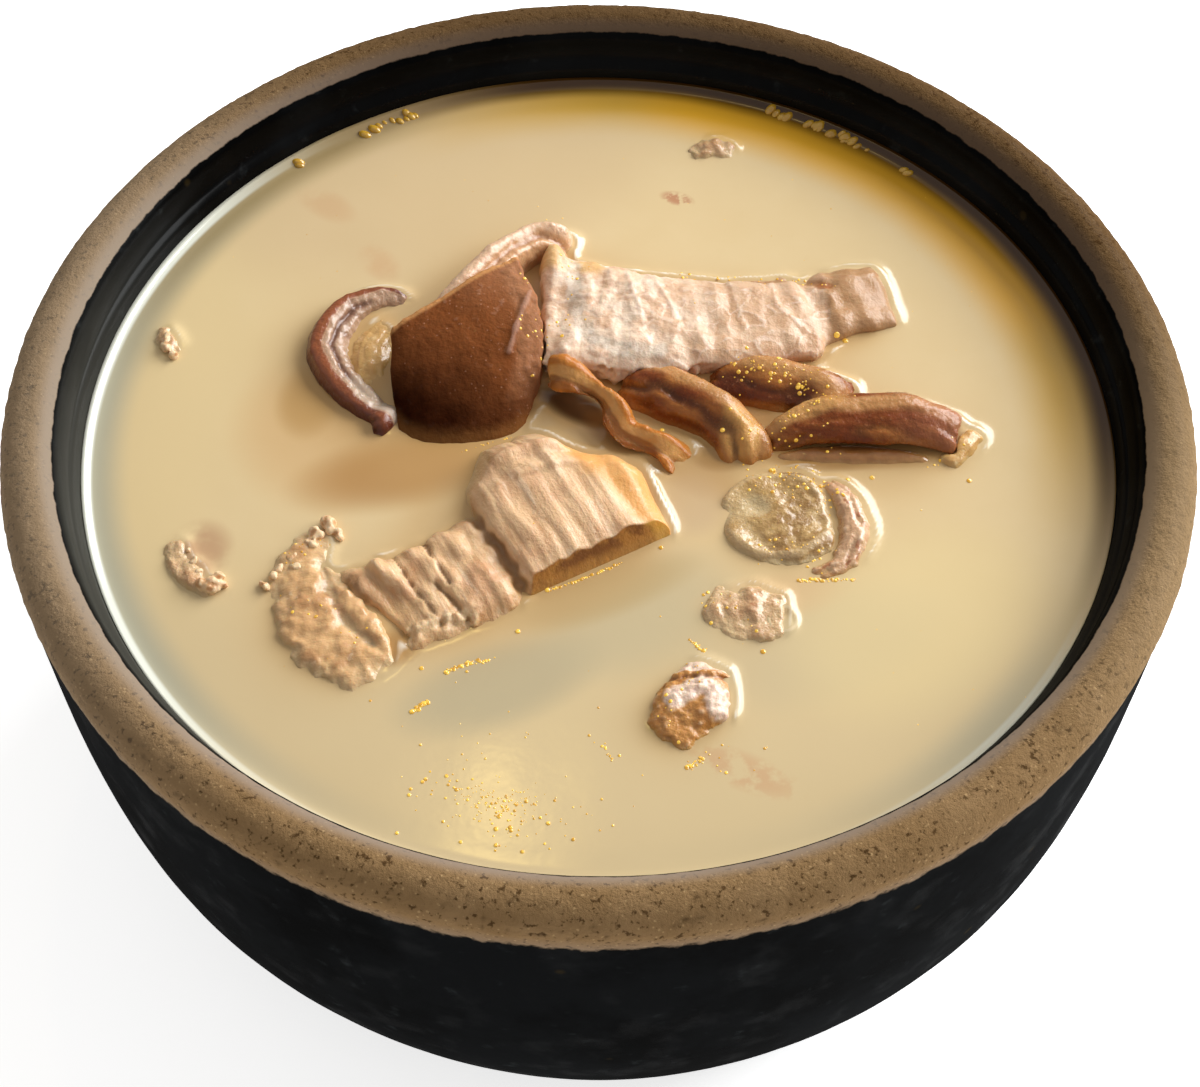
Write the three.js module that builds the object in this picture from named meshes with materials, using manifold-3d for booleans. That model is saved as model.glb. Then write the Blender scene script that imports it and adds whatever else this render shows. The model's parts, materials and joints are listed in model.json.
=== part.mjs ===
// A stoneware pot of milky pork soup: a glazed pot with a bare clay lip, the broth up to its level,
// and the boiled pork and offal that lie in it. Millimetres, +Z up, origin at the middle of the foot.
import * as THREE from "three";
import { mergeVertices } from "three/addons/utils/BufferGeometryUtils.js";
import Module from "manifold-3d";

const wasm = await Module();
wasm.setup();

// ---- Driving dimensions of the pot -------------------------------------------------------------
const POT_HEIGHT = 84;
const FOOT_RADIUS = 65;
const BODY_RADIUS = 85; // the outer wall at half height
const LIP_WIDTH = 8.4;
const LIP_HEIGHT = 7.6; // the rounded part of the lip
const LIP_MIDDLE_RADIUS = 81.2;
const WALL = 8.6;
const FLOOR_THICKNESS = 10;
const SOUP_DEPTH_BELOW_RIM = 10.5;
const ROUND_STEPS = 64; // facets round the pot

// ---- Driving dimensions of the contents ---------------------------------------------------------
const SOUP_LEVEL = POT_HEIGHT - SOUP_DEPTH_BELOW_RIM;
const GAP = 0.3; // left between pieces that touch
const HEADROOM = 14; // how far up a piece keeps others off it
const PORK_THICK = 8;
const SLICE_THICK = 5.5;
const OFFAL_THICK = 4;
const RIBBON_THICK = 1.9;
const SCRAP_THICK = 3.4;

// ---- Colours ------------------------------------------------------------------------------------
const GLAZE = 0x1c1b1a;
const BROTH = 0xdcc79b;
const LEAN_PORK = 0xc79a76;
const PALE_PORK = 0xdfb795;
const DARK_OFFAL = 0x5a3018;
const BROWN_OFFAL = 0x8a5328;
const PINK_OFFAL = 0xa98370;
const FAT = 0xdccf9c;
const GREY_FAT = 0xa3936a;

// ---- Small numeric helpers ----------------------------------------------------------------------
const mix = (a, b, t) => a + (b - a) * t;
const ease = (low, high, x) => THREE.MathUtils.smoothstep(x, low, high);
const hump = (x, middle, spread) => Math.exp(-(((x - middle) / spread) ** 2));

/** Slow unevenness from -1 to 1, different for each seed: three crossed waves. */
function uneven(x, y, seed) {
  const a = Math.sin(x * 0.61 + y * 0.37 + seed * 2.1);
  const b = Math.sin(x * 0.29 - y * 0.71 + seed * 4.7);
  const c = Math.sin(x * 1.13 + y * 0.93 + seed * 1.3);
  return (a + b + 0.6 * c) / 2.6;
}

// ---- Solids -------------------------------------------------------------------------------------
/** A three.js geometry as a closed solid, turned right side out. */
function solidOf(geometry) {
  const bare = new THREE.BufferGeometry();
  bare.setAttribute("position", geometry.getAttribute("position"));
  if (geometry.index) bare.setIndex(geometry.index);
  const merged = mergeVertices(bare, 1e-4);
  const mesh = {
    numProp: 3,
    vertProperties: new Float32Array(merged.attributes.position.array),
    triVerts: new Uint32Array(merged.index.array),
  };
  const solid = new wasm.Manifold(new wasm.Mesh(mesh));
  if (solid.volume() > 0) return solid;
  for (let i = 0; i < mesh.triVerts.length; i += 3) {
    [mesh.triVerts[i], mesh.triVerts[i + 1]] = [mesh.triVerts[i + 1], mesh.triVerts[i]];
  }
  return new wasm.Manifold(new wasm.Mesh(mesh));
}

/** A closed solid as a three.js geometry. */
function geometryOf(solid) {
  const mesh = solid.getMesh();
  const geometry = new THREE.BufferGeometry();
  geometry.setAttribute("position", new THREE.BufferAttribute(mesh.vertProperties, 3));
  geometry.setIndex(new THREE.BufferAttribute(mesh.triVerts, 1));
  geometry.computeVertexNormals();
  return geometry;
}

/** The largest body of a solid: a cut can leave loose scraps, which are dropped. */
function largest(solid) {
  return solid.decompose().reduce((a, b) => (b.volume() > a.volume() ? b : a));
}

/** A ring of the profile, a closed outline of [radius, height], round the pot's axis. */
function turned(outline) {
  const points = outline.map(([radius, height]) => new THREE.Vector2(radius, height));
  const geometry = new THREE.LatheGeometry(points, ROUND_STEPS);
  geometry.rotateX(Math.PI / 2);
  geometry.deleteAttribute("uv");
  geometry.deleteAttribute("normal");
  return solidOf(geometry);
}

/** A closed solid from a grid of upper points, and a lower left and right edge of the same length. */
function slabOf(upper, left, right) {
  const along = upper.length - 1;
  const across = upper[0].length - 1;
  const row = across + 1;
  const points = [upper, left, right].flat(2).flatMap((point) => point.toArray());
  const faces = [];
  const at = (i, j) => i * row + j;
  const leftAt = (i) => upper.length * row + i;
  const rightAt = (i) => leftAt(i) + left.length;
  const quad = (a, b, c, d) => faces.push(a, b, c, a, c, d);
  for (let i = 0; i < along; i++) {
    for (let j = 0; j < across; j++) quad(at(i + 1, j), at(i + 1, j + 1), at(i, j + 1), at(i, j));
    quad(rightAt(i), leftAt(i), leftAt(i + 1), rightAt(i + 1));
    quad(at(i, 0), rightAt(i), rightAt(i + 1), at(i + 1, 0));
    quad(at(i + 1, across), leftAt(i + 1), leftAt(i), at(i, across));
  }
  for (let j = 0; j < across; j++) {
    faces.push(at(0, j), at(0, j + 1), rightAt(0));
    faces.push(at(along, j + 1), at(along, j), rightAt(along));
  }
  faces.push(at(0, across), leftAt(0), rightAt(0));
  faces.push(at(along, across), rightAt(along), leftAt(along));
  const geometry = new THREE.BufferGeometry();
  geometry.setAttribute("position", new THREE.Float32BufferAttribute(points, 3));
  geometry.setIndex(faces);
  return solidOf(geometry);
}

/**
 * A piece of meat and the room it takes up. The piece has an upper face over s (0 to 1, along) and
 * w (-1 to 1, from its right edge to its left), and a plain underside between two lower edges.
 * The room is a gap wider and deeper, and open above.
 */
function meat({ face, under, along, across }) {
  const steps = [...Array(along + 1).keys()].map((i) => crowded(i / along));
  const places = [...Array(across + 1).keys()].map((j) => 2 * crowded(j / across) - 1);
  const piece = slabOf(
    steps.map((s) => places.map((w) => face(s, w))),
    steps.map((s) => under(s, 1)),
    steps.map((s) => under(s, -1)),
  );
  const apart = (s, w, height) => {
    const aside = face(s, w).sub(face(s, -w)).setZ(0).setLength(GAP);
    const onward = under(Math.min(1, s + 0.02), 0).sub(under(Math.max(0, s - 0.02), 0)).setZ(0);
    const end = s === 0 ? -GAP : s === 1 ? GAP : 0;
    return face(s, w).add(aside).add(onward.setLength(1).multiplyScalar(end)).setZ(height);
  };
  const room = slabOf(
    steps.map((s) => [-1, 1].map((w) => apart(s, w, face(s, w).z + HEADROOM))),
    steps.map((s) => apart(s, 1, under(s, 1).z - GAP)),
    steps.map((s) => apart(s, -1, under(s, -1).z - GAP)),
  );
  return { piece, room };
}

/** Steps from 0 to 1 that lie a little closer near both ends. */
function crowded(t) {
  return mix(t, 0.5 - 0.5 * Math.cos(Math.PI * t), 0.35);
}

/** How far the upper face has rounded down towards the edge of a piece, from 0 to 1. */
function rounded(s, w) {
  return Math.max(Math.abs(w) ** 6, Math.abs(2 * s - 1) ** 12);
}

/** A smooth path through points given as [x, y, height above the soup]. */
function path(points) {
  const placed = points.map(([x, y, rise]) => new THREE.Vector3(x, y, SOUP_LEVEL + rise));
  return new THREE.CatmullRomCurve3(placed, false, "centripetal");
}

/** A point beside a path: at s along it, moved by some way to its left and some way up. */
function beside(curve, s, left, up) {
  const ahead = curve.getTangentAt(s);
  const side = new THREE.Vector3(-ahead.y, ahead.x, 0).normalize();
  const at = curve.getPointAt(s).addScaledVector(side, left);
  at.z += up;
  return at;
}

/** A piece that lies along a path: top(s, w) is how far its face is above the path. */
function lying({ points, halfWidth, top, thick, along, across }) {
  const curve = path(points);
  const drop = thick * 0.3;
  const face = (s, w) => beside(curve, s, w * halfWidth(s, w), top(s, w) - drop * rounded(s, w));
  const under = (s, w) => beside(curve, s, w * halfWidth(s, w) * 0.92, -thick);
  return meat({ face, under, along, across });
}

// ---- The pot ------------------------------------------------------------------------------------
function potOutline() {
  const lipMiddle = POT_HEIGHT - LIP_HEIGHT / 2;
  const outside = new THREE.SplineCurve([
    new THREE.Vector2(FOOT_RADIUS, 0),
    new THREE.Vector2(BODY_RADIUS - 13.2, 2.6),
    new THREE.Vector2(BODY_RADIUS - 7.8, 14.6),
    new THREE.Vector2(BODY_RADIUS - 2.5, 31),
    new THREE.Vector2(BODY_RADIUS - 0.5, 48),
    new THREE.Vector2(BODY_RADIUS, 64),
    new THREE.Vector2(LIP_MIDDLE_RADIUS + LIP_WIDTH / 2 - 0.3, lipMiddle - 3),
  ]).getPoints(9);
  const lip = new THREE.EllipseCurve(
    LIP_MIDDLE_RADIUS,
    lipMiddle,
    LIP_WIDTH / 2,
    LIP_HEIGHT / 2,
    0,
    Math.PI,
  ).getPoints(8);
  const points = [...outside, ...lip, ...insideWall()].map((p) => [p.x, p.y]);
  return [[0, 0], ...points, [0, FLOOR_THICKNESS]];
}

/** The inner wall from just under the lip down to the edge of the floor. */
function insideWall() {
  return new THREE.SplineCurve([
    new THREE.Vector2(BODY_RADIUS - WALL + 0.1, POT_HEIGHT - 6.4),
    new THREE.Vector2(BODY_RADIUS - 10, SOUP_LEVEL),
    new THREE.Vector2(BODY_RADIUS - 11.4, 52),
    new THREE.Vector2(BODY_RADIUS - 14.6, 30),
    new THREE.Vector2(BODY_RADIUS - 22, 15.5),
    new THREE.Vector2(BODY_RADIUS - 36, FLOOR_THICKNESS),
  ]).getPoints(8);
}

// ---- The broth ----------------------------------------------------------------------------------
/** The broth fills the pot to its level, a gap short of the wall. */
function brothOutline() {
  const wall = insideWall().map((p) => [p.x - GAP, p.y + GAP]);
  const dry = wall.filter(([, height]) => height > SOUP_LEVEL);
  const wet = wall.filter(([, height]) => height <= SOUP_LEVEL);
  const [above, below] = [dry[dry.length - 1], wet[0]];
  const t = (SOUP_LEVEL - below[1]) / (above[1] - below[1]);
  const shore = [mix(below[0], above[0], t), SOUP_LEVEL];
  return [[0, FLOOR_THICKNESS + GAP], ...wet.reverse(), shore, [0, SOUP_LEVEL]];
}

// ---- The pork -----------------------------------------------------------------------------------
/** The thick slice in front: lean meat in two blocks, torn across, with a soft fat end. */
function porkSlab() {
  const tear = 0.42;
  return lying({
    points: [[-30.5, -33, 2.2], [-21, -27.5, 3], [-8, -18.5, 4.2], [7.6, -12.6, 3.6]],
    halfWidth: (s, w) => {
      const sunkBack = w > 0 ? 4.6 * ease(tear - 0.1, tear + 0.14, s) * (1 - ease(0.72, 0.98, s)) : 0;
      return 10.2 + sunkBack + 0.5 * uneven(s * 30, 3, 1) - 1.8 * ease(0.92, 1, s);
    },
    top: (s, w) => {
      const step = -0.9 * (1 - ease(tear - 0.05, tear + 0.03, s));
      const dip = -ease(0.45, 1, w) * mix(2.2, 4.4, ease(tear - 0.03, tear + 0.03, s));
      const fibres = 0.25 * Math.sin(s * 62 + w * 2.2);
      return step + dip - 1.3 * hump(s, tear, 0.04) + fibres + 0.3 * uneven(s * 22, w * 6, 2);
    },
    thick: PORK_THICK,
    along: 32,
    across: 9,
  });
}

/** The flake torn off the slab's left end, which lies just under the broth. */
function porkFlake() {
  return lying({
    points: [[-39.4, -19.6, 0.2], [-41.4, -27.5, 0.6], [-37.2, -36.1, 0.9], [-29.4, -44.6, 0.6]],
    halfWidth: (s) => 1.6 + 5 * Math.sin(Math.PI * mix(0.04, 0.85, s)) + 0.5 * uneven(s * 25, 8, 3),
    top: (s, w) => 0.5 + 0.4 * uneven(s * 20, w * 5, 4) - 0.4 * ease(0, 1, -w) + 0.4 * ease(0.2, 1, w),
    thick: PORK_THICK * 0.6,
    along: 14,
    across: 7,
  });
}

/** The long thin slice behind, with its fat edge to the left, laid on the offal. */
function porkSlice() {
  const frontHalf = (s) => {
    const leftBlock = 11.4 - 1.4 * ease(0.06, 0.3, s);
    const rightBlock = mix(7.4, 6.2, ease(0.78, 1, s));
    return mix(leftBlock, rightBlock, ease(0.72, 0.78, s)) + 0.6 * uneven(s * 48, 1, 5);
  };
  const backHalf = (s) => {
    const taper = mix(11.8, mix(9.4, 7, ease(0.75, 1, s)), ease(0.2, 0.6, s));
    return taper + 0.3 * uneven(s * 30, 5, 6);
  };
  return lying({
    points: [
      [-8.8, 21, 4.6],
      [3.5, 18.4, 4.6],
      [14, 19.4, 3.8],
      [24, 21, 3],
      [33, 23.8, 2.2],
      [44.6, 26, 1.8],
    ],
    halfWidth: (s, w) => (w < 0 ? frontHalf(s) : backHalf(s)),
    top: (s, w) => {
      const tilt = w > 0 ? -mix(1, 2, ease(0.1, 0.4, s)) * (1 - ease(0.8, 1, s)) * w * w : -0.5 * w;
      const seam = -0.7 * hump(s, 0.78, 0.035);
      return tilt + seam + 0.22 * Math.sin(s * 78 + w) + 0.3 * uneven(s * 30, w * 7, 7);
    },
    thick: SLICE_THICK,
    along: 34,
    across: 8,
  });
}

// ---- The offal ----------------------------------------------------------------------------------
/** The dark folded sheet: its skin slopes up from the broth to a slanted cut edge behind. */
function offalFold() {
  const leftRail = path([[-28.6, -6.8, -4.4], [-29.4, -2.4, 0], [-30.9, 7, 4.2], [-31.2, 13.7, 5.8]]);
  const rightRail = path([
    [-11.8, -5.6, -4.4],
    [-11.2, -1.2, 0],
    [-8.8, 8, 4],
    [-8.8, 16.6, 6.4],
    [-12.8, 27.5, 8],
  ]);
  const face = (s, w) => {
    const at = rightRail.getPointAt(s).lerp(leftRail.getPointAt(s), (w + 1) / 2);
    const between = 1 - w * w;
    at.z += 0.9 * between + 0.25 * uneven(s * 9, w * 6, 9) - 0.7 * rounded(s, w);
    at.y -= 1.8 * between * Math.sin(Math.PI * s);
    return at;
  };
  const under = (s, w) => face(s, w).sub(new THREE.Vector3(0, 0, OFFAL_THICK));
  return meat({ face, under, along: 14, across: 8 });
}

/** The rest of that sheet behind the fold: it leaves the cut edge and hooks round, rim up. */
function offalHook() {
  return lying({
    points: [[-25.4, 16.4, 4.6], [-18.8, 24.4, 6], [-14, 31.6, 5.4], [-9.4, 35.6, 4.4], [-5, 35, 3.6]],
    halfWidth: (s) => 2.9 - 0.5 * Math.cos(s * 9),
    top: (s, w) => 1.4 * hump(w, 0.6, 0.5) - 0.5 + 0.25 * uneven(s * 26, w * 4, 8),
    thick: 8,
    along: 15,
    across: 6,
  });
}

/** The loop to the left: a strip standing in a curve, its brown skin outside. */
function offalCurl() {
  return lying({
    points: [
      [-29.2, 24, 1],
      [-33.4, 24.6, 1.8],
      [-37.9, 22.2, 2.2],
      [-40.2, 18.2, 2.4],
      [-41.2, 13.8, 2.4],
      [-39.2, 9, 2.2],
      [-35.5, 4.6, 1.8],
      [-31.6, 1.2, 1.2],
    ],
    halfWidth: (s) => 1 + 2.3 * Math.sin(Math.PI * mix(0.04, 0.82, s)),
    top: (s, w) => -0.9 * w - 0.4 * w * w + 0.2 * uneven(s * 30, w * 3, 10),
    thick: 6.4,
    along: 20,
    across: 6,
  });
}

/** The pale inner lining that shows inside the loop. */
function offalLining() {
  return lying({
    points: [[-33.2, 6.6, -0.4], [-34.6, 11.6, 0.6], [-34.2, 16.4, 0.7], [-31.8, 20, 0]],
    halfWidth: (s) => 0.9 + 0.8 * Math.sin(Math.PI * s),
    top: (s, w) => 0.2 - 0.4 * w * w + 0.2 * uneven(s * 16, w * 3, 11),
    thick: 3,
    along: 9,
    across: 4,
  });
}

/** The narrow frilled strip that runs down between the slice and the slab. */
function offalRibbon() {
  return lying({
    points: [
      [-7.6, 6.2, 5],
      [-3.2, 4.6, 5.2],
      [0.8, 1.6, 4.2],
      [3.4, -2.6, 2.8],
      [8, -4.6, 1.6],
      [12.4, -7, 0.8],
    ],
    halfWidth: (s) => 1.8 + 0.6 * Math.sin(s * 14) + 0.5 * ease(0.5, 0.9, s),
    top: (s, w) => 0.8 * w * (1 - s) + 0.7 * Math.sin(s * 17 + w) * (0.4 + 0.6 * Math.abs(w)),
    thick: RIBBON_THICK,
    along: 26,
    across: 4,
  });
}

/** The left of the two dark rounded folds under the slice. */
function offalLobeLeft() {
  return lying({
    points: [[4, 8.8, 1.4], [10, 5.6, 2.8], [16.4, 1.6, 3], [20.4, -2.2, 2], [21.4, -6.2, 0.6]],
    halfWidth: (s) => 3.5 + 0.5 * Math.sin(s * 7),
    top: (s, w) => 0.4 + 0.5 * w - 1.3 * w * w + 0.3 * uneven(s * 20, w * 4, 12),
    thick: 6.6,
    along: 15,
    across: 6,
  });
}

/** The right of the two dark folds, behind the pointed piece. */
function offalLobeRight() {
  return lying({
    points: [[17.4, 10.4, 1.2], [23, 8, 2], [29, 6.6, 2.2], [35.4, 3.4, 1.4]],
    halfWidth: (s) => 3.9 + 0.5 * Math.sin(s * 6 + 1),
    top: (s, w) => 0.3 + 1.2 * w - 0.6 * w * w + 0.3 * uneven(s * 22, w * 4, 13),
    thick: 6,
    along: 12,
    across: 6,
  });
}

/** The pointed piece on the right: a flap of skin whose front edge stands clear of the broth. */
function offalWedge() {
  return lying({
    points: [[25, -3.2, 1.8], [31, -0.6, 3.4], [38, -0.2, 4], [46, -0.4, 3.9], [52.4, -2.2, 2.8]],
    halfWidth: (s) => 0.9 + 3.3 * Math.sin(Math.PI * mix(0.06, 0.82, s)) ** 0.8,
    top: (s, w) => 0.3 + 0.6 * w - 0.9 * w * w + 0.2 * uneven(s * 22, w * 4, 14),
    thick: 2.6,
    along: 17,
    across: 7,
  });
}

/** The darker flap under the pointed piece, of which only the front edge shows. */
function offalUnderflap() {
  return lying({
    points: [[25, -5.4, 0.3], [33, -5, 0.6], [42, -5.2, 0.6], [49, -5.8, 0.2]],
    halfWidth: (s) => 0.9 + 1.1 * Math.sin(Math.PI * s),
    top: (s, w) => 0.2 - 0.3 * w * w,
    thick: 3,
    along: 10,
    across: 4,
  });
}

/** A pale end of fat beyond the pointed piece. */
function fatTip() {
  return lying({
    points: [[50.4, -7.2, 0], [52.6, -4.2, 1], [55.8, -0.8, 0.9]],
    halfWidth: (s) => 1.9 + 0.3 * Math.sin(s * 5),
    top: (s, w) => 0.3 - 0.4 * w * w + 0.2 * uneven(s * 9, w * 3, 15),
    thick: SCRAP_THICK,
    along: 7,
    across: 4,
  });
}

/** The round grey slice of fat that floats level with the broth. */
function fatDisc() {
  return lying({
    points: [[17.8, -17.4, 0.1], [22.6, -16.9, 0.3], [27.6, -16.4, 0.4], [33, -15.4, 0.4]],
    halfWidth: (s) => 1.8 + 6.9 * Math.sin(Math.PI * mix(0.05, 0.86, s)) ** 0.7,
    top: (s, w) => 0.4 + 0.3 * uneven(s * 18, w * 7, 16) + 0.35 * hump(Math.abs(w), 0.8, 0.25),
    thick: SCRAP_THICK,
    along: 12,
    across: 8,
  });
}

/** The brown flap along the disc's right side. */
function skinFlap() {
  return lying({
    points: [[31.4, -8.8, 0], [35.2, -13, 0.8], [36.4, -19, 1], [34.2, -24.6, 0.6], [29.6, -26.6, 0]],
    halfWidth: (s) => 1.2 + 1.2 * Math.sin(Math.PI * s),
    top: (s, w) => 0.4 - 0.5 * w * w + 0.3 * uneven(s * 26, w * 4, 17),
    thick: SCRAP_THICK,
    along: 13,
    across: 4,
  });
}

// ---- The scraps ---------------------------------------------------------------------------------
/** A small torn scrap along a path, with a half width and a seed for its unevenness. */
function scrap(points, half, seed, along = 8, across = 5) {
  const swell = (s) => 0.55 + 0.6 * Math.sin(Math.PI * mix(0.12, 0.88, s));
  return lying({
    points,
    halfWidth: (s) => half * swell(s) + 0.4 * uneven(s * 24, 1, seed),
    top: (s, w) => 0.4 - 0.5 * w * w + 0.5 * uneven(s * 21, w * 5, seed + 3),
    thick: SCRAP_THICK,
    along,
    across,
  });
}

const scrapMiddle = () => scrap([[14.8, -31, 0.1], [20, -33, 0.6], [26.4, -33.8, 0.5]], 4.6, 21, 9, 6);
const scrapFront = () => scrap([[15.6, -42, 0.9], [13.2, -47, 1.5], [9, -53.6, 0.7]], 4.1, 24, 11, 6);
const scrapLeft = () => scrap([[-60.4, -21.6, 0], [-57.8, -27, 0.5], [-52.6, -31, 0.4]], 2.1, 27, 9, 4);
const scrapBack = () => scrap([[14.2, 57.4, 0], [18, 59.4, 0.7], [22, 58.2, 0.3]], 2.3, 30, 7, 4);
const crumbLeft = () => scrap([[-66.6, 18.8, 0.1], [-65.8, 15.6, 0.6], [-63.6, 12.8, 0.1]], 1.5, 33, 7, 4);

// ---- Assembly -----------------------------------------------------------------------------------
// The pieces from the top of the heap down. Each is cut clear of those above it, and all of them
// are cut out of the broth.
const CONTENTS = [
  ["offal_ribbon", offalRibbon, BROWN_OFFAL],
  ["offal_fold", offalFold, DARK_OFFAL],
  ["pork_slice", porkSlice, PALE_PORK],
  ["offal_wedge", offalWedge, DARK_OFFAL],
  ["pork_slab", porkSlab, LEAN_PORK],
  ["offal_hook", offalHook, PINK_OFFAL],
  ["offal_lobe_left", offalLobeLeft, DARK_OFFAL],
  ["offal_lobe_right", offalLobeRight, DARK_OFFAL],
  ["offal_curl", offalCurl, BROWN_OFFAL],
  ["offal_lining", offalLining, FAT],
  ["offal_underflap", offalUnderflap, DARK_OFFAL],
  ["fat_tip", fatTip, FAT],
  ["pork_flake", porkFlake, LEAN_PORK],
  ["skin_flap", skinFlap, BROWN_OFFAL],
  ["fat_disc", fatDisc, GREY_FAT],
  ["scrap_middle", scrapMiddle, PINK_OFFAL],
  ["scrap_front", scrapFront, BROWN_OFFAL],
  ["scrap_left", scrapLeft, PALE_PORK],
  ["scrap_back", scrapBack, PALE_PORK],
  ["crumb_left", crumbLeft, PALE_PORK],
];

function material(color, roughness) {
  return new THREE.MeshStandardMaterial({ color, roughness, metalness: 0, flatShading: true });
}

function named(name, solid, color, roughness) {
  const mesh = new THREE.Mesh(geometryOf(solid), material(color, roughness));
  mesh.name = name;
  return mesh;
}

const potOfSoup = new THREE.Group();
potOfSoup.add(named("pot", turned(potOutline()), GLAZE, 0.3));

let broth = turned(brothOutline());
const rooms = [];
for (const [name, make, color] of CONTENTS) {
  const { piece, room } = make();
  const carved = largest(rooms.reduce((rest, cutter) => rest.subtract(cutter), piece));
  potOfSoup.add(named(name, carved, color, 0.35));
  rooms.push(room);
  broth = broth.subtract(room);
}
potOfSoup.add(named("broth", largest(broth), BROTH, 0.2));

export default potOfSoup;
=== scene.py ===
import json
import math
import random

import bpy
import numpy as np
from mathutils import Matrix, Vector, noise
from mathutils.bvhtree import BVHTree

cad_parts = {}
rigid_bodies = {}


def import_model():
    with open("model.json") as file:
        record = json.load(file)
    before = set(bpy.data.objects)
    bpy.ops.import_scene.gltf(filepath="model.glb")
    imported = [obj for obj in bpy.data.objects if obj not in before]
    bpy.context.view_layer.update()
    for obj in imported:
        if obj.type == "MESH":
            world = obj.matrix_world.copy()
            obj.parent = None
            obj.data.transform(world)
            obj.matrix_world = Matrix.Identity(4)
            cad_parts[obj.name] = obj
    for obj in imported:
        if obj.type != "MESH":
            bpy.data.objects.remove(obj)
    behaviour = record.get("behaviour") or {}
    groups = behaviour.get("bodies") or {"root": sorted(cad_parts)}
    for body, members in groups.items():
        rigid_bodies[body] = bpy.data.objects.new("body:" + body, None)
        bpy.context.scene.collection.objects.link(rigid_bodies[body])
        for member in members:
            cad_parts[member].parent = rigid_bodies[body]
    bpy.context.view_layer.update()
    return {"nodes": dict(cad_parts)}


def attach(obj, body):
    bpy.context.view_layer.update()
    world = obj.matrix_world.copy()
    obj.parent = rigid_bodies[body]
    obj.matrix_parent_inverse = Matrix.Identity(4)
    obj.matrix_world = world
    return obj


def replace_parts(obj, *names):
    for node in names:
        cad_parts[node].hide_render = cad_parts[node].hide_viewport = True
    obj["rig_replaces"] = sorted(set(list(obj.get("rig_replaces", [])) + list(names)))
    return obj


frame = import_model()

# ---- Viewpoint ----------------------------------------------------------------------------------
# Someone about to eat looks down at the pot from 36 cm away. The lens is a phone's, seen as 60 mm
# on a full frame, and the pot fills the picture.
MM = 0.001
EYE_PLACE = (0.306 * MM, -187.772 * MM, 301.541 * MM)
EYE_DOWN = math.radians(53.9)
EYE_ROLL = math.radians(0.57)
LENS_MM = 60
SENSOR_MM = 36
NEAREST = 0.01

bpy.ops.object.select_all(action="DESELECT")
bpy.ops.object.camera_add(location=EYE_PLACE, rotation=(0, 0, 0))
eye = bpy.context.object
eye.name = "eye"
eye.rotation_mode = "XYZ"
eye.rotation_euler = (math.radians(90) - EYE_DOWN, 0, 0)
eye.rotation_euler.rotate_axis("Z", EYE_ROLL)
eye.data.lens = LENS_MM
eye.data.sensor_width = SENSOR_MM
eye.data.clip_start = NEAREST
bpy.context.scene.camera = eye
bpy.context.scene.view_settings.view_transform = "Standard"

# ---- Light and table ----------------------------------------------------------------------------
# The pot stands on a plain white table. A wide low window behind it on the right lights it, and
# a small warm lamp, also behind, makes the yellow gleam in front. The room fills the rest.
WINDOW = {"size": 1.0, "size_y": 0.52, "energy": 15.5, "color": (0.96, 0.985, 1.0)}
WINDOW_FROM = (56, 29, 0.9)
LAMP = {"size": 0.022, "size_y": 0.022, "energy": 0.07, "color": (1.0, 0.74, 0.24)}
LAMP_FROM = (-5.8, 61.4, 0.8)
LAMP_AIM = (-12 * MM, -64 * MM, 73.5 * MM)
AIM = (0, 0, 0.06)
ROOM_COLOR = (1.0, 0.99, 0.97)
ROOM_STRENGTH = 0.42
TABLE_SIZE = 6.0
TABLE_HEIGHT = -0.2 * MM
TABLE_WHITE = (0.93, 0.93, 0.93, 1)
TABLE_ROUGHNESS = 0.8
TABLE_GLOW = 0.72


def light_from(name, makings, azimuth, elevation, distance, aim=AIM):
    """A flat soft light that shines on aim. Azimuth 0 is behind the pot and 90 is to its right."""
    turn, lift = math.radians(azimuth), math.radians(elevation)
    away = Vector((math.sin(turn) * math.cos(lift), math.cos(turn) * math.cos(lift), math.sin(lift)))
    bpy.ops.object.light_add(type="AREA", location=Vector(aim) + away * distance)
    lamp = bpy.context.object
    lamp.name = name
    lamp.rotation_euler = away.to_track_quat("Z", "Y").to_euler()
    lamp.data.shape = "RECTANGLE"
    for setting, value in makings.items():
        setattr(lamp.data, setting, value)


light_from("window", WINDOW, *WINDOW_FROM)
light_from("lamp", LAMP, *LAMP_FROM, aim=LAMP_AIM)

room = bpy.data.worlds.new("room")
room.use_nodes = True
air = room.node_tree.nodes["Background"].inputs
air["Color"].default_value = (*ROOM_COLOR, 1)
air["Strength"].default_value = ROOM_STRENGTH
bpy.context.scene.world = room

bpy.ops.object.select_all(action="DESELECT")
bpy.ops.mesh.primitive_plane_add(size=TABLE_SIZE, location=(0, 0, TABLE_HEIGHT))
table_top = bpy.context.object
table_top.name = "table_top"
white = bpy.data.materials.new("white_table")
white.use_nodes = True
paint = white.node_tree.nodes["Principled BSDF"].inputs
paint["Base Color"].default_value = TABLE_WHITE
paint["Roughness"].default_value = TABLE_ROUGHNESS
paint["Specular IOR Level"].default_value = 0.0
paint["Emission Color"].default_value = TABLE_WHITE
paint["Emission Strength"].default_value = TABLE_GLOW
table_top.data.materials.append(white)

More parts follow.
